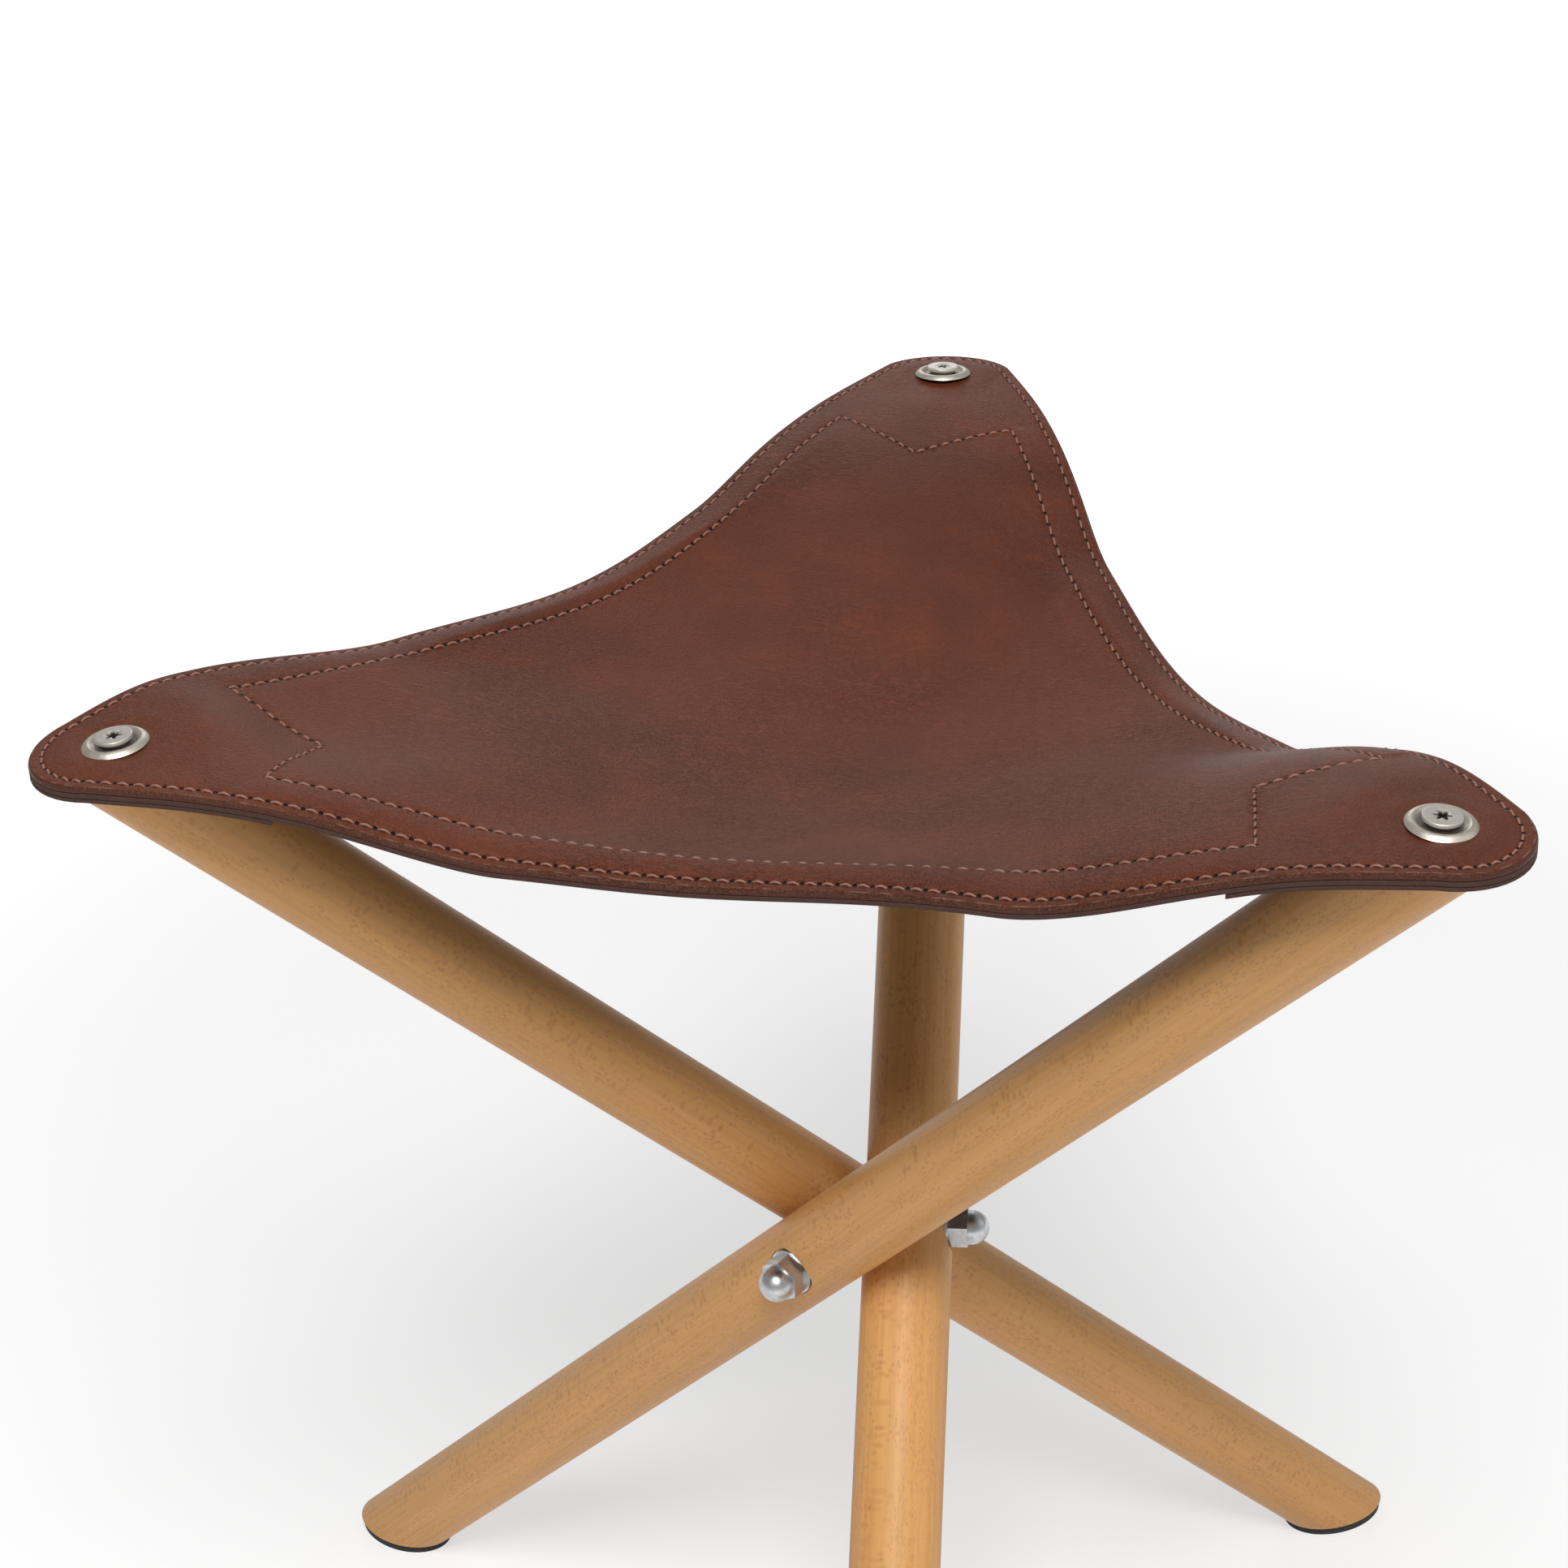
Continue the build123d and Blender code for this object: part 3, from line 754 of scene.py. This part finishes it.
# Materials
class Finish:
    """A material with short calls for its nodes."""

    def __init__(self, name):
        self.material = bpy.data.materials.new(name)
        self.material.use_nodes = True
        self.tree = self.material.node_tree
        self.shader = self.tree.nodes["Principled BSDF"]

    def node(self, kind, inputs=None, **settings):
        """Adds a node, sets it and links the sockets given as inputs."""
        made = self.tree.nodes.new(kind)
        for key, value in settings.items():
            setattr(made, key, value)
        for key, value in (inputs or {}).items():
            self.feed(made.inputs[key], value)
        return made

    def feed(self, socket, value):
        """Links a socket or sets its plain value."""
        if isinstance(value, bpy.types.NodeSocket):
            self.tree.links.new(value, socket)
        else:
            socket.default_value = value

    def math(self, operation, first, second=0.0):
        """One operation on two values."""
        return self.node("ShaderNodeMath", {0: first, 1: second}, operation=operation).outputs[0]

    times = partialmethod(math, "MULTIPLY")
    minus = partialmethod(math, "SUBTRACT")
    plus = partialmethod(math, "ADD")

    def size(self, vector):
        """Length of a vector."""
        return self.node("ShaderNodeVectorMath", {0: vector}, operation="LENGTH").outputs["Value"]

    def place(self):
        """Object coordinates."""
        return self.node("ShaderNodeTexCoord").outputs["Object"]

    def mapped(self, vector, scale=(1, 1, 1), rotation=(0, 0, 0), location=(0, 0, 0)):
        """A turned or stretched copy of coordinates."""
        inputs = {"Vector": vector, "Scale": scale, "Rotation": rotation, "Location": location}
        return self.node("ShaderNodeMapping", inputs).outputs[0]

    def noise(self, vector, scale, detail=2.0, roughness=0.5, distortion=0.0):
        """A noise value about one half."""
        inputs = {"Vector": vector, "Scale": scale, "Detail": detail, "Roughness": roughness}
        inputs["Distortion"] = distortion
        return self.node("ShaderNodeTexNoise", inputs).outputs[0]

    def cells(self, vector, scale):
        """Distance to the middle of scattered cells."""
        return self.node("ShaderNodeTexVoronoi", {"Vector": vector, "Scale": scale}).outputs["Distance"]

    def between(self, value, low, high, to_low=0.0, to_high=1.0):
        """Stretches a range of a value onto another, held at its ends."""
        inputs = {"Value": value, "From Min": low, "From Max": high, "To Min": to_low, "To Max": to_high}
        return self.node("ShaderNodeMapRange", inputs, interpolation_type="SMOOTHSTEP").outputs[0]

    def mix(self, share, first, second):
        """A blend of two colours."""
        made = self.node("ShaderNodeMix", data_type="RGBA")
        sockets = [socket for socket in made.inputs if socket.type == "RGBA"]
        self.feed(made.inputs[0], share)
        self.feed(sockets[0], opaque(first))
        self.feed(sockets[1], opaque(second))
        return next(socket for socket in made.outputs if socket.type == "RGBA")

    def tint(self, tone, colour, value, low, high, at_low=0.0, at_high=1.0):
        """Lays a colour over a tone, by a share that goes with a range of a value."""
        return self.mix(self.between(value, low, high, at_low, at_high), tone, colour)

    def bump(self, height, distance, strength=1.0):
        """A bump whose height is in metres."""
        inputs = {"Height": height, "Distance": distance, "Strength": strength}
        return self.node("ShaderNodeBump", inputs).outputs[0]

    def marks(self, name):
        """The three parts of a piece's vector attribute."""
        attribute = self.node("ShaderNodeAttribute", attribute_name=name)
        parts = self.node("ShaderNodeSeparateXYZ", {0: attribute.outputs["Vector"]})
        return parts.outputs

    def finish(self, **sockets):
        """Sets the shader's sockets and returns the material."""
        for key, value in sockets.items():
            socket = self.shader.inputs[key.replace("_", " ")]
            is_colour = socket.type == "RGBA"
            self.feed(socket, opaque(value) if is_colour else value)
        return self.material


def opaque(value):
    """A colour with full cover, or the socket as it is."""
    if isinstance(value, bpy.types.NodeSocket):
        return value
    return (*tuple(value)[:3], 1.0)


def hole_share(made, phase, off, sewing):
    """1 inside a needle hole: the ends of each stitch lie at whole phases."""
    along = made.times(made.minus(phase, made.math("ROUND", phase)), sewing.hole_pitch)
    far = made.math("SQRT", made.plus(made.times(along, along), made.times(off, off)))
    radius = sewing.hole_radius
    return made.between(far, radius * (1 - HOLE_FADE), radius * (1 + HOLE_FADE), 1.0, 0.0)


def sewn_holes(made, sewing, phase, inset):
    """1 inside the needle holes of all rows."""
    tab_phase, tab_off, beside = made.marks("tab")
    edge_hole = hole_share(made, phase, made.minus(inset, sewing.edge_row), sewing)
    inner_hole = hole_share(made, phase, made.minus(inset, sewing.inner_row), sewing)
    off_middle = made.math("ABSOLUTE", made.minus(tab_phase, sewing.per_tab / 2))
    on_tab = made.math("LESS_THAN", off_middle, sewing.per_tab / 2 + TAB_SPARE)
    tab_hole = made.times(hole_share(made, tab_phase, tab_off, sewing), on_tab)
    holes = made.math("MAXIMUM", edge_hole, made.times(inner_hole, beside))
    return made.math("MAXIMUM", holes, tab_hole)


def leather_finish():
    """Full-grain leather with wrinkles, needle holes and a burnished edge, with painted shade in its
    creases, wrinkle hollows and needle holes.
    """
    colours = bpy.context.scene.stool_colours
    made = Finish("seat_leather")
    place = made.place()
    noise = {key: made.noise(place, *form) for key, form in LEATHER_NOISES.items()}
    noise["pores"] = made.cells(place, PORE_SCALE)
    wrinkles = made.noise(made.mapped(place, scale=WRINKLE_STRETCH), *WRINKLES)
    creased = made.between(noise["drift"], 0.36, 0.66, 0.25, 1.0)
    creases = made.between(made.math("ABSOLUTE", made.minus(wrinkles, 0.5)), 0.0, 0.045, 1.0, 0.0)
    creases = made.times(creases, creased)
    tone = colours.leather
    for colour_name, key, *span in LEATHER_LAYERS:
        tone = made.tint(tone, getattr(colours, colour_name), noise[key], *span)
    # Painted shade: the grooves of the creases are darkened towards the edge colour.
    tone = made.mix(made.times(creases, 0.30), tone, colours.edge)
    # Painted shade: the hollows of the wrinkles, where their height is low, are darkened with the dark
    # leather tone.
    tone = made.tint(tone, colours.leather_dark, wrinkles, 0.36, 0.60, 0.42, 0.0)
    phase, inset, wall = made.marks("sewing")
    holes = sewn_holes(made, bpy.context.scene.stool_sewing, phase, inset)
    cut = made.tint(colours.edge, made_darker(colours.leather, 0.7), noise["fibre"], 0.35, 0.7)
    edge_line = made.times(made.between(wall, 0.05, 0.22), made.between(wall, 0.3, 0.5, 1.0, 0.0))
    edge_line = made.times(edge_line, made.between(noise["breaks"], 0.42, 0.60))
    tone = made.tint(tone, cut, wall, 0.15, 0.6)
    tone = made.mix(made.times(edge_line, 0.75), tone, colours.edge_light)
    # Painted shade: the needle holes are painted near black.
    tone = made.mix(holes, tone, colours.hole)
    height = made.plus(made.times(noise["grain"], 0.5), made.times(noise["pores"], 0.3))
    height = made.minus(height, made.times(creases, 0.34))
    height = made.plus(height, made.times(wrinkles, made.times(creased, 1.1)))
    height = made.minus(height, made.times(holes, 3.0))
    rough = made.between(made.plus(noise["pores"], noise["grain"]), 0.3, 1.2, 0.56, 0.47)
    normal = made.bump(height, 0.00075)
    return made.finish(Base_Color=tone, Roughness=rough, Normal=normal, Specular_IOR_Level=0.26)


def made_darker(value, share):
    """A colour with a share of its light."""
    return tuple(part * share for part in value)


def suede_finish():
    """The flesh side of the lining and patches."""
    colours = bpy.context.scene.stool_colours
    made = Finish("lining_leather")
    place = made.place()
    nap = made.noise(place, 900.0, 5.0, 0.75)
    drift = made.noise(place, 30.0, 3.0)
    tone = made.tint(made_darker(colours.suede, 0.65), colours.suede, nap, 0.3, 0.7)
    tone = made.tint(tone, colours.edge, drift, 0.4, 0.7, 0.0, 0.4)
    return made.finish(Base_Color=tone, Roughness=0.85, Normal=made.bump(nap, 0.0003, 0.8))


def thread_finish():
    """Waxed thread of twisted strands."""
    base = bpy.context.scene.stool_colours.thread
    made = Finish("thread")
    strand = made.noise(made.place(), 2600.0, 2.0, 0.6)
    tone = made.tint(made_darker(base, 0.6), base, strand, 0.35, 0.65)
    return made.finish(Base_Color=tone, Roughness=0.6, Normal=made.bump(strand, 0.0001))


def beech_finish(name, axis, seed):
    """Oiled beech whose grain runs along an axis, with rays, pores and faint growth rings."""
    colours = bpy.context.scene.stool_colours
    made = Finish(name)
    turn = axis.to_track_quat("Z", "Y").inverted().to_euler()
    upright = made.mapped(made.place(), rotation=tuple(turn))
    grain = made.mapped(upright, rotation=(0, 0, seed), location=(seed, seed * 0.7, 0))
    noise = {}
    for key, (stretch, *form) in BEECH_NOISES.items():
        noise[key] = made.noise(made.mapped(grain, scale=stretch), 1.0, *form)
    small = made.between(made.cells(made.mapped(grain, scale=SMALL_RAYS), 1.0), 0.22, 0.48, 1.0, 0.0)
    small = made.times(small, made.between(noise["which"], 0.36, 0.56))
    broad = made.between(made.cells(made.mapped(grain, scale=BROAD_RAYS), 1.0), 0.18, 0.40, 1.0, 0.0)
    broad = made.times(broad, made.between(noise["where"], 0.44, 0.60))
    tone = colours.beech
    for colour_name, light, key, *span in BEECH_LAYERS:
        tone = made.tint(tone, made_darker(getattr(colours, colour_name), light), noise[key], *span)
    tone = made.mix(made.times(broad, 0.42), tone, colours.beech_ray)
    tone = made.mix(made.times(small, 0.44), tone, colours.beech_dark)
    height = made.plus(made.times(noise["pores"], -0.5), made.times(small, -0.4))
    rough = made.between(noise["rings"], 0.3, 0.7, 0.40, 0.50)
    normal = made.bump(height, 0.00008, 0.6)
    return made.finish(Base_Color=tone, Roughness=rough, Normal=normal, Specular_IOR_Level=0.35)


def turned_steel(name, matrix, base, roughness, near, deep):
    """Steel with fine turning marks round its line, and painted shade where it is near the line and deep.

    Near holds two radii and deep two heights over the washer's middle, between which it fades."""
    made = Finish(name)
    middle = matrix.translation
    centred = made.mapped(made.place(), location=(-middle.x, -middle.y, -middle.z))
    wave = {"Vector": centred, "Scale": 900.0, "Distortion": 1.2, "Detail": 2.0}
    rings = made.node("ShaderNodeTexWave", wave, wave_type="RINGS", rings_direction="Z").outputs[1]
    smudge = made.noise(centred, 320.0, 4.0, 0.6)
    rough = made.between(smudge, 0.35, 0.7, roughness, roughness + 0.16)
    tone = made.tint(base, made_darker(base, 0.72), smudge, 0.5, 0.8, 0.0, 0.5)
    line = {0: centred, 1: tuple(matrix.col[2][:3])}
    height = made.node("ShaderNodeVectorMath", line, operation="DOT_PRODUCT").outputs["Value"]
    # Painted shade: a near-black tone laid where the steel is near the screw's line and low, in the washer's
    # dish by the head and in the head's recess.
    grime = made.between(made.size(centred), *near, 1.0, 0.0)
    grime = made.times(grime, made.between(height, *deep, 0.9, 0.0))
    tone = made.mix(grime, tone, bpy.context.scene.stool_colours.grime)
    normal = made.bump(rings, 0.00002, 0.5)
    return made.finish(Base_Color=tone, Metallic=1.0, Roughness=rough, Normal=normal)


def plated_steel(name):
    """Zinc-plated steel with a faint cloudy shine."""
    base = bpy.context.scene.stool_colours.zinc
    made = Finish(name)
    cloud = made.noise(made.place(), 240.0, 4.0, 0.6)
    tone = made.tint(base, made_darker(base, 0.75), cloud, 0.35, 0.7)
    rough = made.between(cloud, 0.3, 0.7, 0.28, 0.45)
    return made.finish(Base_Color=tone, Metallic=1.0, Roughness=rough, Normal=made.bump(cloud, 0.00005))


def matt_finish(name, base, scale):
    """Moulded rubber or plastic with a fine texture."""
    made = Finish(name)
    speck = made.noise(made.place(), scale, 4.0, 0.7)
    tone = made.tint(base, made_darker(base, 1.9), speck, 0.35, 0.7)
    return made.finish(Base_Color=tone, Roughness=0.72, Normal=made.bump(speck, 0.0001, 0.6))


def dress_node(node, material):
    """Gives a construction node its finish."""
    materials = frame["nodes"][node].data.materials
    materials.clear()
    materials.append(material)


class StoolStep(bpy.types.Operator):
    """One step of dressing the stool"""

    bl_options = {"REGISTER"}


class STOOL_OT_legs(StoolStep):
    """Gives the three legs their beech"""

    bl_idname = "stool.legs"
    bl_label = "Beech legs"

    def execute(self, context):
        for order, joint in enumerate(frame["joints"]):
            corner = joint["child"].removesuffix("_leg")
            axis = middle_of("cup_washer_" + corner) - Vector(joint["pos_m"])
            material = beech_finish("beech_" + corner, axis.normalized(), 0.4 + 0.9 * order)
            dress_node("leg_" + corner, material)
        return {"FINISHED"}


class STOOL_OT_feet(StoolStep):
    """Gives the foot pads their rubber"""

    bl_idname = "stool.feet"
    bl_label = "Foot pads"

    def execute(self, context):
        material = matt_finish("foot_rubber", context.scene.stool_colours.rubber, 900.0)
        for corner in CORNERS:
            dress_node("foot_pad_" + corner, material)
        return {"FINISHED"}


class STOOL_OT_screws(StoolStep):
    """Gives the seat screws, dished washers and inserts their steel"""

    bl_idname = "stool.screws"
    bl_label = "Screws and washers"

    def execute(self, context):
        colours = context.scene.stool_colours
        sizes = context.scene.stool_fittings
        zinc = plated_steel("insert_steel")
        # Painted shade: these ranges darken each washer's dish next to the head and the floor of each head's
        # recess.
        near = (sizes.head_radius, sizes.crest_radius)
        deep = (-2 * sizes.dish_drop, sizes.crest_height)
        washer_look = (colours.steel, 0.40, near, deep)
        near = (sizes.recess_radius * 1.4, sizes.recess_radius * 1.6)
        deep = (sizes.head_rise - 3 * sizes.head_round, sizes.head_rise - sizes.head_round / 2)
        screw_look = (colours.screw, 0.46, near, deep)
        for corner in CORNERS:
            matrix = screw_matrix(corner)
            tail = matrix.translation.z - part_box("seat_screw_" + corner)[0].z
            spun_piece("washer_", "cup_washer_", corner, matrix, washer_rings(sizes), washer_look)
            spun_piece("screw_", "seat_screw_", corner, matrix, screw_rings(sizes, tail), screw_look)
            dress_node("thread_insert_" + corner, zinc)
        return {"FINISHED"}


class STOOL_OT_hub(StoolStep):
    """Gives the three-armed bolt and what turns on it their finishes"""

    bl_idname = "stool.hub"
    bl_label = "Hub"

    def execute(self, context):
        steel = plated_steel("hub_steel")
        plastic = matt_finish("spacer_plastic", context.scene.stool_colours.plastic, 1200.0)
        dress_node("three_way_bolt", steel)
        for corner in CORNERS:
            dress_node("stud_washer_" + corner, steel)
            dress_node("cap_nut_" + corner, steel)
            dress_node("spacer_washer_" + corner, plastic)
        return {"FINISHED"}


class STOOL_OT_leather(StoolStep):
    """Makes the leather of the seat as three thirds that meet in seams with no step"""

    bl_idname = "stool.leather"
    bl_label = "Seat leather"

    def execute(self, context):
        form = SeatForm()
        seat = form.seat
        material = leather_finish()
        profile = ply_profile(seat, seat.leather, seat.round_over, LEATHER_STEPS, True)
        for corner in CORNERS:
            name = "leather_" + corner
            mesh = ply_mesh(form, name, corner, 0.0, profile, True)
            piece = make_piece(name, mesh, material)
            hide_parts("seat_leather")
            follow_leg(form, piece, corner)
            declare_cut(form, form.reach, form.reach)
        return {"FINISHED"}


class STOOL_OT_lining(StoolStep):
    """Makes the lining and the corner patches under the leather"""

    bl_idname = "stool.lining"
    bl_label = "Lining and patches"

    def execute(self, context):
        form = SeatForm()
        seat = form.seat
        material = suede_finish()
        profile = ply_profile(seat, seat.lining, seat.ply_round, LINING_STEPS, False)
        for corner in CORNERS:
            name = "lining_" + corner
            mesh = ply_mesh(form, name, corner, seat.leather + seat.glue_gap, profile, False)
            piece = make_piece(name, mesh, material)
            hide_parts("seat_lining")
            follow_leg(form, piece, corner)
            declare_cut(form, form.reach, form.reach)
            name = "patch_" + corner
            piece = make_piece(name, patch_mesh(form, name, corner), material)
            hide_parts("corner_patch_" + corner)
            follow_leg(form, piece, corner)
            point = seat.patch_reach + seat.patch_point
            declare_cut(form, seat.patch_reach, point)
        return {"FINISHED"}


def stitch_shape(sewing):
    """One stitch of unit length along X, arched over the leather, its ends sunk in."""
    bm = bmesh.new()
    radius = sewing.thread_radius
    bmesh.ops.create_cone(
        bm, cap_ends=True, segments=THREAD_SIDES, radius1=radius, radius2=radius, depth=1
    )
    sides = [edge for edge in bm.edges if abs(edge.verts[0].co.z - edge.verts[1].co.z) > 0.5]
    bmesh.ops.subdivide_edges(bm, edges=sides, cuts=THREAD_CUTS)
    bmesh.ops.rotate(bm, cent=(0, 0, 0), matrix=Matrix.Rotation(pi / 2, 3, "Y"), verts=bm.verts)
    for vert in bm.verts:
        arch = cos(pi * vert.co.x)
        taper = sewing.end_taper + (1 - sewing.end_taper) * arch
        vert.co.y *= taper
        vert.co.z = vert.co.z * taper + sewing.arch * ((1 + sewing.end_sink) * arch - sewing.end_sink)
    for face in bm.faces:
        face.smooth = True
    return into_mesh(bm, "stitch")


class STOOL_OT_thread(StoolStep):
    """Sews the rows along the sides and across the tabs, above and below"""

    bl_idname = "stool.thread"
    bl_label = "Thread"

    def execute(self, context):
        form = SeatForm()
        sewing = form.sewing
        stitch = stitch_shape(sewing)
        material = thread_finish()
        for corner in CORNERS:
            bm = bmesh.new()
            for ends in self.rows(form):
                self.sew(form, bm, stitch, corner, *ends)
            name = "thread_" + corner
            piece = make_piece(name, into_mesh(bm, name), material)
            follow_leg(form, piece, corner)
        bpy.data.meshes.remove(stitch)
        return {"FINISHED"}

    def rows(self, form):
        """The two ends of every stitch in the corner's own axes, and whether it is in a tab row."""
        sewing = form.sewing
        plan, inwards, run = form.outline(sewing.edge_row / 4)
        pitch = 2 * form.third_run() / sewing.per_corner
        row_run, end = form.row_end()

        def at(where, inset):
            line = plan + inwards * inset
            return np.array([np.interp(where, run, line[:, 0]), np.interp(where, run, line[:, 1])])

        half = sewing.per_corner // 2
        reach = sewing.stitch_share / 2
        for order in range(-half, half):
            for inset in (sewing.edge_row, sewing.inner_row):
                middle = (order + 0.5) * pitch
                if inset == sewing.inner_row and abs(middle) < row_run:
                    continue
                first, last = [at(middle + side * pitch * reach, inset) for side in (-1, 1)]
                yield first, last, False
        point = np.array([form.reach - sewing.tab_point, 0])
        for flip in (-1, 1):
            for order in range(sewing.per_tab):
                shares = [(order + 0.5 + side * reach) / sewing.per_tab for side in (-1, 1)]
                first, last = [(point + (end - point) * share) * np.array([1, flip]) for share in shares]
                yield first, last, True

    def sew(self, form, bm, stitch, corner, first, last, on_tab):
        """Adds one stitch on the leather and its mate under the seat."""
        sewing = form.sewing
        seat = form.seat
        line = last - first
        across = np.array([-line[1], line[0]]) / np.linalg.norm(line)
        first = first + across * sewing.slant
        last = last - across * sewing.slant
        ends = [Vector(form.points(corner, plan, sewing.groove_depth)) for plan in (first, last)]
        patched = on_tab or (form.reach - (first[0] + last[0]) / 2) < seat.patch_reach
        under = seat.leather + seat.glue_gap + seat.lining
        if patched:
            under += seat.glue_gap + seat.patch
        for depth, up in ((0.0, 1), (under - sewing.groove_depth, -1)):
            start = ends[0] - Vector((0, 0, depth))
            end = ends[1] - Vector((0, 0, depth))
            along = (end - start).normalized()
            side = Vector((0, 0, up)).cross(along).normalized()
            above = along.cross(side)
            before = len(bm.verts)
            bm.from_mesh(stitch)
            bm.verts.ensure_lookup_table()
            turn = Matrix((along * (end - start).length, side, above)).transposed().to_4x4()
            matrix = Matrix.Translation((start + end) / 2) @ turn
            bmesh.ops.transform(bm, matrix=matrix, verts=bm.verts[before:])


class STOOL_OT_studio(StoolStep):
    """Sets the floor, the lights and the camera"""

    bl_idname = "stool.studio"
    bl_label = "Studio"

    def execute(self, context):
        self.floor(context)
        self.lights(context)
        self.camera(context)
        context.scene.view_settings.view_transform = "Standard"
        return {"FINISHED"}

    def floor(self, context):
        """A pale floor that keeps the stool's shadow."""
        colours = context.scene.stool_colours
        studio = context.scene.stool_studio
        bm = bmesh.new()
        bmesh.ops.create_grid(bm, x_segments=1, y_segments=1, size=studio.floor_size)
        mesh = into_mesh(bm, "floor")
        made = Finish("floor")
        light_path = made.node("ShaderNodeLightPath").outputs
        seen = made.math("MAXIMUM", light_path["Is Camera Ray"], light_path["Is Glossy Ray"])
        seen = made.math("MAXIMUM", seen, light_path["Is Transmission Ray"])
        base = made.mix(seen, colours.floor_bounce, colours.floor)
        centred = made.mapped(made.place(), location=tuple(-part for part in studio.shadow_middle))
        off_middle = made.size(centred)
        glow = made.between(off_middle, studio.glow_near, studio.glow_far, studio.floor_glow, 1.0)
        made.finish(Base_Color=base, Roughness=1.0, Emission_Color=(1.0, 1.0, 1.0))
        made.feed(made.shader.inputs["Specular IOR Level"], 0.0)
        made.feed(made.shader.inputs["Emission Strength"], made.times(seen, glow))
        mesh.materials.append(made.material)
        floor = into_scene("floor", mesh)

    def lights(self, context):
        """Large soft lamps and an even surround."""
        studio = context.scene.stool_studio
        world = bpy.data.worlds.new("studio")
        world.use_nodes = True
        nodes, links = world.node_tree.nodes, world.node_tree.links
        background = nodes["Background"]
        background.inputs["Color"].default_value = (1, 1, 1, 1)
        rays = nodes.new("ShaderNodeLightPath").outputs
        strength = None
        for ray, level in (("Is Glossy Ray", studio.mirrored), ("Is Camera Ray", 1.0)):
            step = nodes.new("ShaderNodeMapRange")
            step.inputs["To Min"].default_value = studio.surround
            step.inputs["To Max"].default_value = level
            if strength:
                links.new(strength, step.inputs["To Min"])
            links.new(rays[ray], step.inputs["Value"])
            strength = step.outputs[0]
        links.new(strength, background.inputs["Strength"])
        context.scene.world = world
        for name in ("key", "fill", "rim"):
            data = bpy.data.lights.new(name, "AREA")
            data.size = getattr(studio, name + "_size")
            data.energy = getattr(studio, name + "_power")
            lamp = into_scene(name, data)
            lamp.location = getattr(studio, name + "_place")
            aim = Vector(studio.lamp_aim) - lamp.location
            lamp.rotation_mode = "QUATERNION"
            lamp.rotation_quaternion = aim.to_track_quat("-Z", "Y")

    def camera(self, context):
        """The photograph's view."""
        studio = context.scene.stool_studio
        turn = Matrix.Rotation(studio.azimuth, 3, "Z")
        turn = turn @ Matrix.Rotation(pi / 2 - studio.elevation, 3, "X")
        turn = turn @ Matrix.Rotation(studio.roll, 3, "Z")
        data = bpy.data.cameras.new("camera")
        data.sensor_width = studio.sensor
        data.lens = studio.lens
        camera = into_scene("camera", data)
        camera.rotation_mode = "QUATERNION"
        camera.rotation_quaternion = turn.to_quaternion()
        camera.location = Vector(studio.aim) + turn.col[2] * studio.distance
        context.scene.camera = camera


STEPS = (
    STOOL_OT_legs,
    STOOL_OT_feet,
    STOOL_OT_screws,
    STOOL_OT_hub,
    STOOL_OT_leather,
    STOOL_OT_lining,
    STOOL_OT_thread,
    STOOL_OT_studio,
)
GROUPS = {
    "stool_seat": StoolSeat,
    "stool_sewing": StoolSewing,
    "stool_fittings": StoolFittings,
    "stool_colours": StoolColours,
    "stool_studio": StoolStudio,
}


class STOOL_PT_panel(bpy.types.Panel):
    """Sizes, colours and steps of the stool"""

    bl_idname = "STOOL_PT_panel"
    bl_label = "Folding stool"
    bl_space_type = "VIEW_3D"
    bl_region_type = "UI"
    bl_category = "Stool"

    def draw(self, context):
        for step in STEPS:
            self.layout.operator(step.bl_idname)
        for name, group in GROUPS.items():
            box = self.layout.box()
            for key in group.__annotations__:
                box.prop(getattr(context.scene, name), key)


def register():
    for name, group in GROUPS.items():
        bpy.utils.register_class(group)
        setattr(bpy.types.Scene, name, PointerProperty(type=group))
    for step in STEPS:
        bpy.utils.register_class(step)
    bpy.utils.register_class(STOOL_PT_panel)


def unregister():
    bpy.utils.unregister_class(STOOL_PT_panel)
    for step in reversed(STEPS):
        bpy.utils.unregister_class(step)
    for name, group in GROUPS.items():
        delattr(bpy.types.Scene, name)
        bpy.utils.unregister_class(group)


def main():
    register()
    bpy.ops.stool.legs()
    bpy.ops.stool.feet()
    bpy.ops.stool.screws()
    bpy.ops.stool.hub()
    bpy.ops.stool.leather()
    bpy.ops.stool.lining()
    bpy.ops.stool.thread()
    bpy.ops.stool.studio()


if __name__ == "__main__":
    main()
